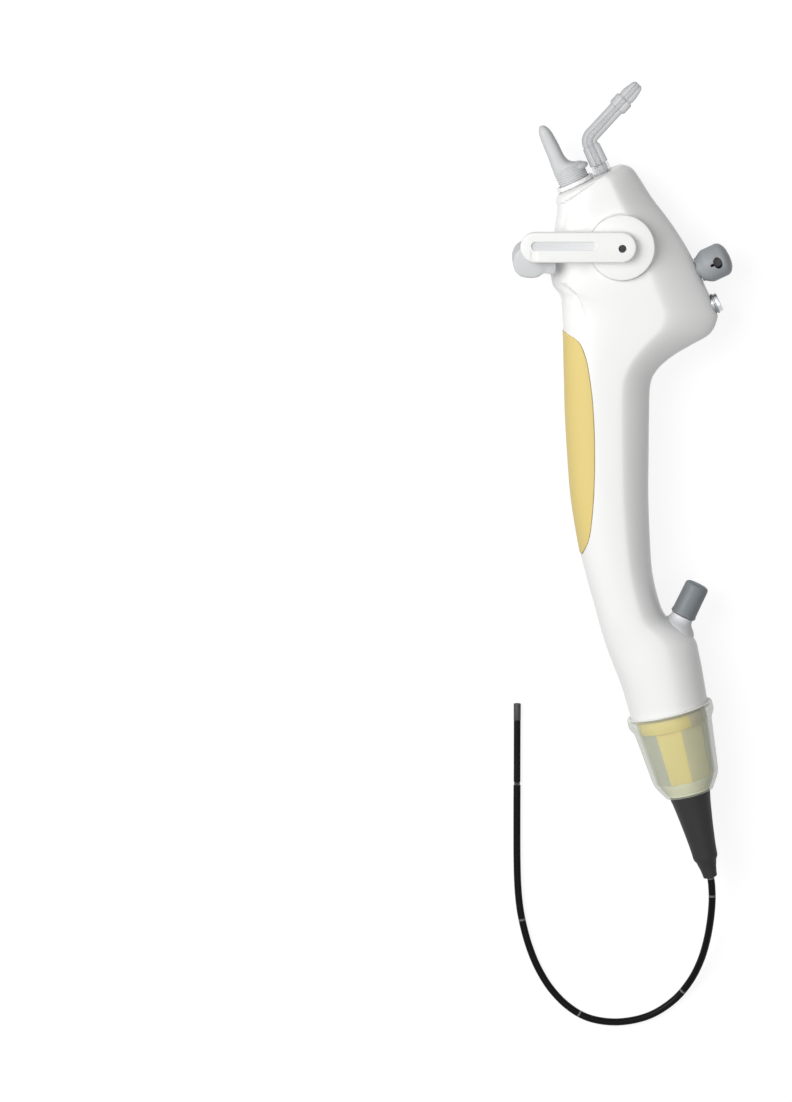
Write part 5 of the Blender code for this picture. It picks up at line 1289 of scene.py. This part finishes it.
class ENDOSCOPE_OT_rotation_ring(bpy.types.Operator):
    """Makes the translucent rotation ring and the faceted core that shows through it"""

    bl_idname = "endoscope.rotation_ring"
    bl_label = "Rotation ring"
    bl_options = {"REGISTER", "UNDO"}

    def execute(self, context):
        ring = ring_turned([(17.75, 1.2), (19.0, 1.2), (19.3, 2.2), (19.3, 5.2), (18.7, 6.6), (17.9, 7.8),
                            (17.4, 9.2), (15.0, 31.0), (14.4, 33.6), (13.0, 36.2), (11.2, 39.0),
                            (10.6, 40.0), (9.4, 40.2), (9.3, 39.2), (10.9, 37.0), (13.2, 32.4),
                            (15.6, 8.4), (15.8, 3.4), (17.75, 3.2)], 120, 0.3)
        piece = add_piece("grip_ring", ring, [ring_plastic(), rim_painted_highlight()], "ring",
                          ["rotation_ring"])
        # The faces of the upper lip get a painted highlight: the paler, more opaque rim plastic.
        for face in piece.data.polygons:
            if (face.center - RING_ORIGIN).dot(RING_AXIS) < 1.75 * MM:
                face.material_index = 1
        self.make_core()
        return {"FINISHED"}

    def make_core(self):
        """The core: a round band over an eight-sided cone, and a skirt over the boot."""
        band_low, facet, first_facet = 9.2, 45, 10
        cone = ring_turned([(7.3, 3.6), (15.1, 3.6), (15.1, 8.6), (15.0, band_low), (12.7, 33.4), (8.6, 33.4),
                            (8.6, 12.7), (7.3, 12.7)], 360 // facet, 0.35, math.radians(first_facet))
        band = ring_turned(hollow(7.3, 15.3, 3.4, band_low), 96, 0.3)
        skirt = ring_turned([(8.6, 33.0), (11.7, 33.0), (11.2, 35.0), (10.2, 37.2), (9.45, 39.4),
                             (9.25, 39.4), (9.25, 36.0), (8.6, 35.4)], 96)
        core = combined(cone, [band, skirt], "UNION")
        piece = add_piece("faceted_core", core, core_colour_and_painted_facets(), "ring", ["ring_core"])
        right = Vector((math.cos(RING_TILT), math.sin(RING_TILT), 0))
        for face in piece.data.polygons:
            offset = face.center - RING_ORIGIN
            down = offset.dot(RING_AXIS) / MM
            turn = math.degrees(math.atan2(offset.dot(right), offset.z)) % 180
            # The facets and the band get lighter or darker copies of the core's colour by the way they face,
            # and the skirt the pale one: painted light and shade.
            if down > 33.6:
                face.material_index = PALE
            elif down < band_low + 0.1:
                face.material_index = BROWN if 30 < turn < 62 else PALE if 62 <= turn < 100 else YELLOW
            else:
                face.material_index = (KHAKI, PALE, GREY, YELLOW)[int((turn - first_facet) // facet % 4)]


class ENDOSCOPE_OT_boot(bpy.types.Operator):
    """Makes the charcoal boot that holds the tube"""

    bl_idname = "endoscope.boot"
    bl_label = "Strain boot"
    bl_options = {"REGISTER", "UNDO"}

    def execute(self, context):
        outer = smooth_line([(9.0, 37.0), (9.0, 41.0), (8.35, 44.6), (7.0, 54.0), (5.85, 64.0),
                             (5.5, 69.4)], 5)
        profile = [(2.7, 25.0), (8.3, 25.0), (8.3, 35.8), (9.0, 36.2), *outer, (5.2, 70.4), (4.6, 71.2),
                   (3.7, 74.6), (3.3, 76.8), (3.1, 78.6), (2.7, BOOT_END), (1.9, BOOT_END), (1.9, 60.3),
                   (2.7, 60.3)]
        boot = ring_turned(profile, 72, 0.12)
        add_piece("boot", boot, [boot_rubber()], "ring", ["strain_boot"])
        return {"FINISHED"}


class ENDOSCOPE_OT_inner_finishes(bpy.types.Operator):
    """Gives every carried-over piece inside the handle its own finish"""

    bl_idname = "endoscope.inner_finishes"
    bl_label = "Inner pieces"
    bl_options = {"REGISTER", "UNDO"}

    def execute(self, context):
        finishes = {
            bright_steel: ["lever_axle", "pull_wire_left", "pull_wire_right", "wire_sheath_left",
                           "wire_sheath_right", "snap_ring", *[f"bending_link_{k}" for k in LINKS]],
            black_steel_and_painted_shade: ["tube_end_ring"],
            warm_brass: ["wire_drum", "socket_nut", "tube_ferrule"],
            neck_plastic: ["chassis", "wire_block", "valve_cylinder", "valve_piston"],
            clear_plastic: ["y_connector", "channel_tube", "camera_lens"],
            dark_plastic: ["camera_cable", "socket_insert", "record_switch"],
            board_lacquer: ["circuit_board"],
            shell_plastic: ["lower_spigot"],
            core_plastic: ["light_left", "light_right"],
        }
        for maker, names in finishes.items():
            for name in names:
                for slot in NODES[name].material_slots:
                    slot.material = maker()
        return {"FINISHED"}


OPERATORS = [
    ENDOSCOPE_OT_stage,
    ENDOSCOPE_OT_steerable_end,
    ENDOSCOPE_OT_insertion_tube,
    ENDOSCOPE_OT_handle_shells,
    ENDOSCOPE_OT_lever,
    ENDOSCOPE_OT_suction_button,
    ENDOSCOPE_OT_suction_elbow,
    ENDOSCOPE_OT_finger_face,
    ENDOSCOPE_OT_port,
    ENDOSCOPE_OT_rotation_ring,
    ENDOSCOPE_OT_boot,
    ENDOSCOPE_OT_inner_finishes,
]
GROUPS = {"endoscope_stage": EndoscopeStage, "endoscope_colours": EndoscopeColours,
          "endoscope_sizes": EndoscopeSizes}


class ENDOSCOPE_PT_panel(bpy.types.Panel):
    """The instrument's sizes, colours and pieces"""

    bl_idname = "ENDOSCOPE_PT_panel"
    bl_label = "Flexible endoscope"
    bl_space_type = "VIEW_3D"
    bl_region_type = "UI"
    bl_category = "Endoscope"

    def draw(self, context):
        for property_name in GROUPS:
            group = getattr(context.scene, property_name)
            box = self.layout.box()
            for name in group.__annotations__:
                box.prop(group, name)
        for operator in OPERATORS:
            self.layout.operator(operator.bl_idname)


def register():
    for cls in (*GROUPS.values(), *OPERATORS, ENDOSCOPE_PT_panel):
        bpy.utils.register_class(cls)
    for name, group in GROUPS.items():
        setattr(bpy.types.Scene, name, PointerProperty(type=group))


def unregister():
    for name in GROUPS:
        delattr(bpy.types.Scene, name)
    for cls in reversed((*GROUPS.values(), *OPERATORS, ENDOSCOPE_PT_panel)):
        bpy.utils.unregister_class(cls)


def main():
    register()
    bpy.ops.endoscope.stage()
    bpy.ops.endoscope.steerable_end()
    bpy.ops.endoscope.insertion_tube()
    bpy.ops.endoscope.handle_shells()
    bpy.ops.endoscope.lever()
    bpy.ops.endoscope.suction_button()
    bpy.ops.endoscope.suction_elbow()
    bpy.ops.endoscope.finger_face()
    bpy.ops.endoscope.port()
    bpy.ops.endoscope.rotation_ring()
    bpy.ops.endoscope.boot()
    bpy.ops.endoscope.inner_finishes()


if __name__ == "__main__":
    main()
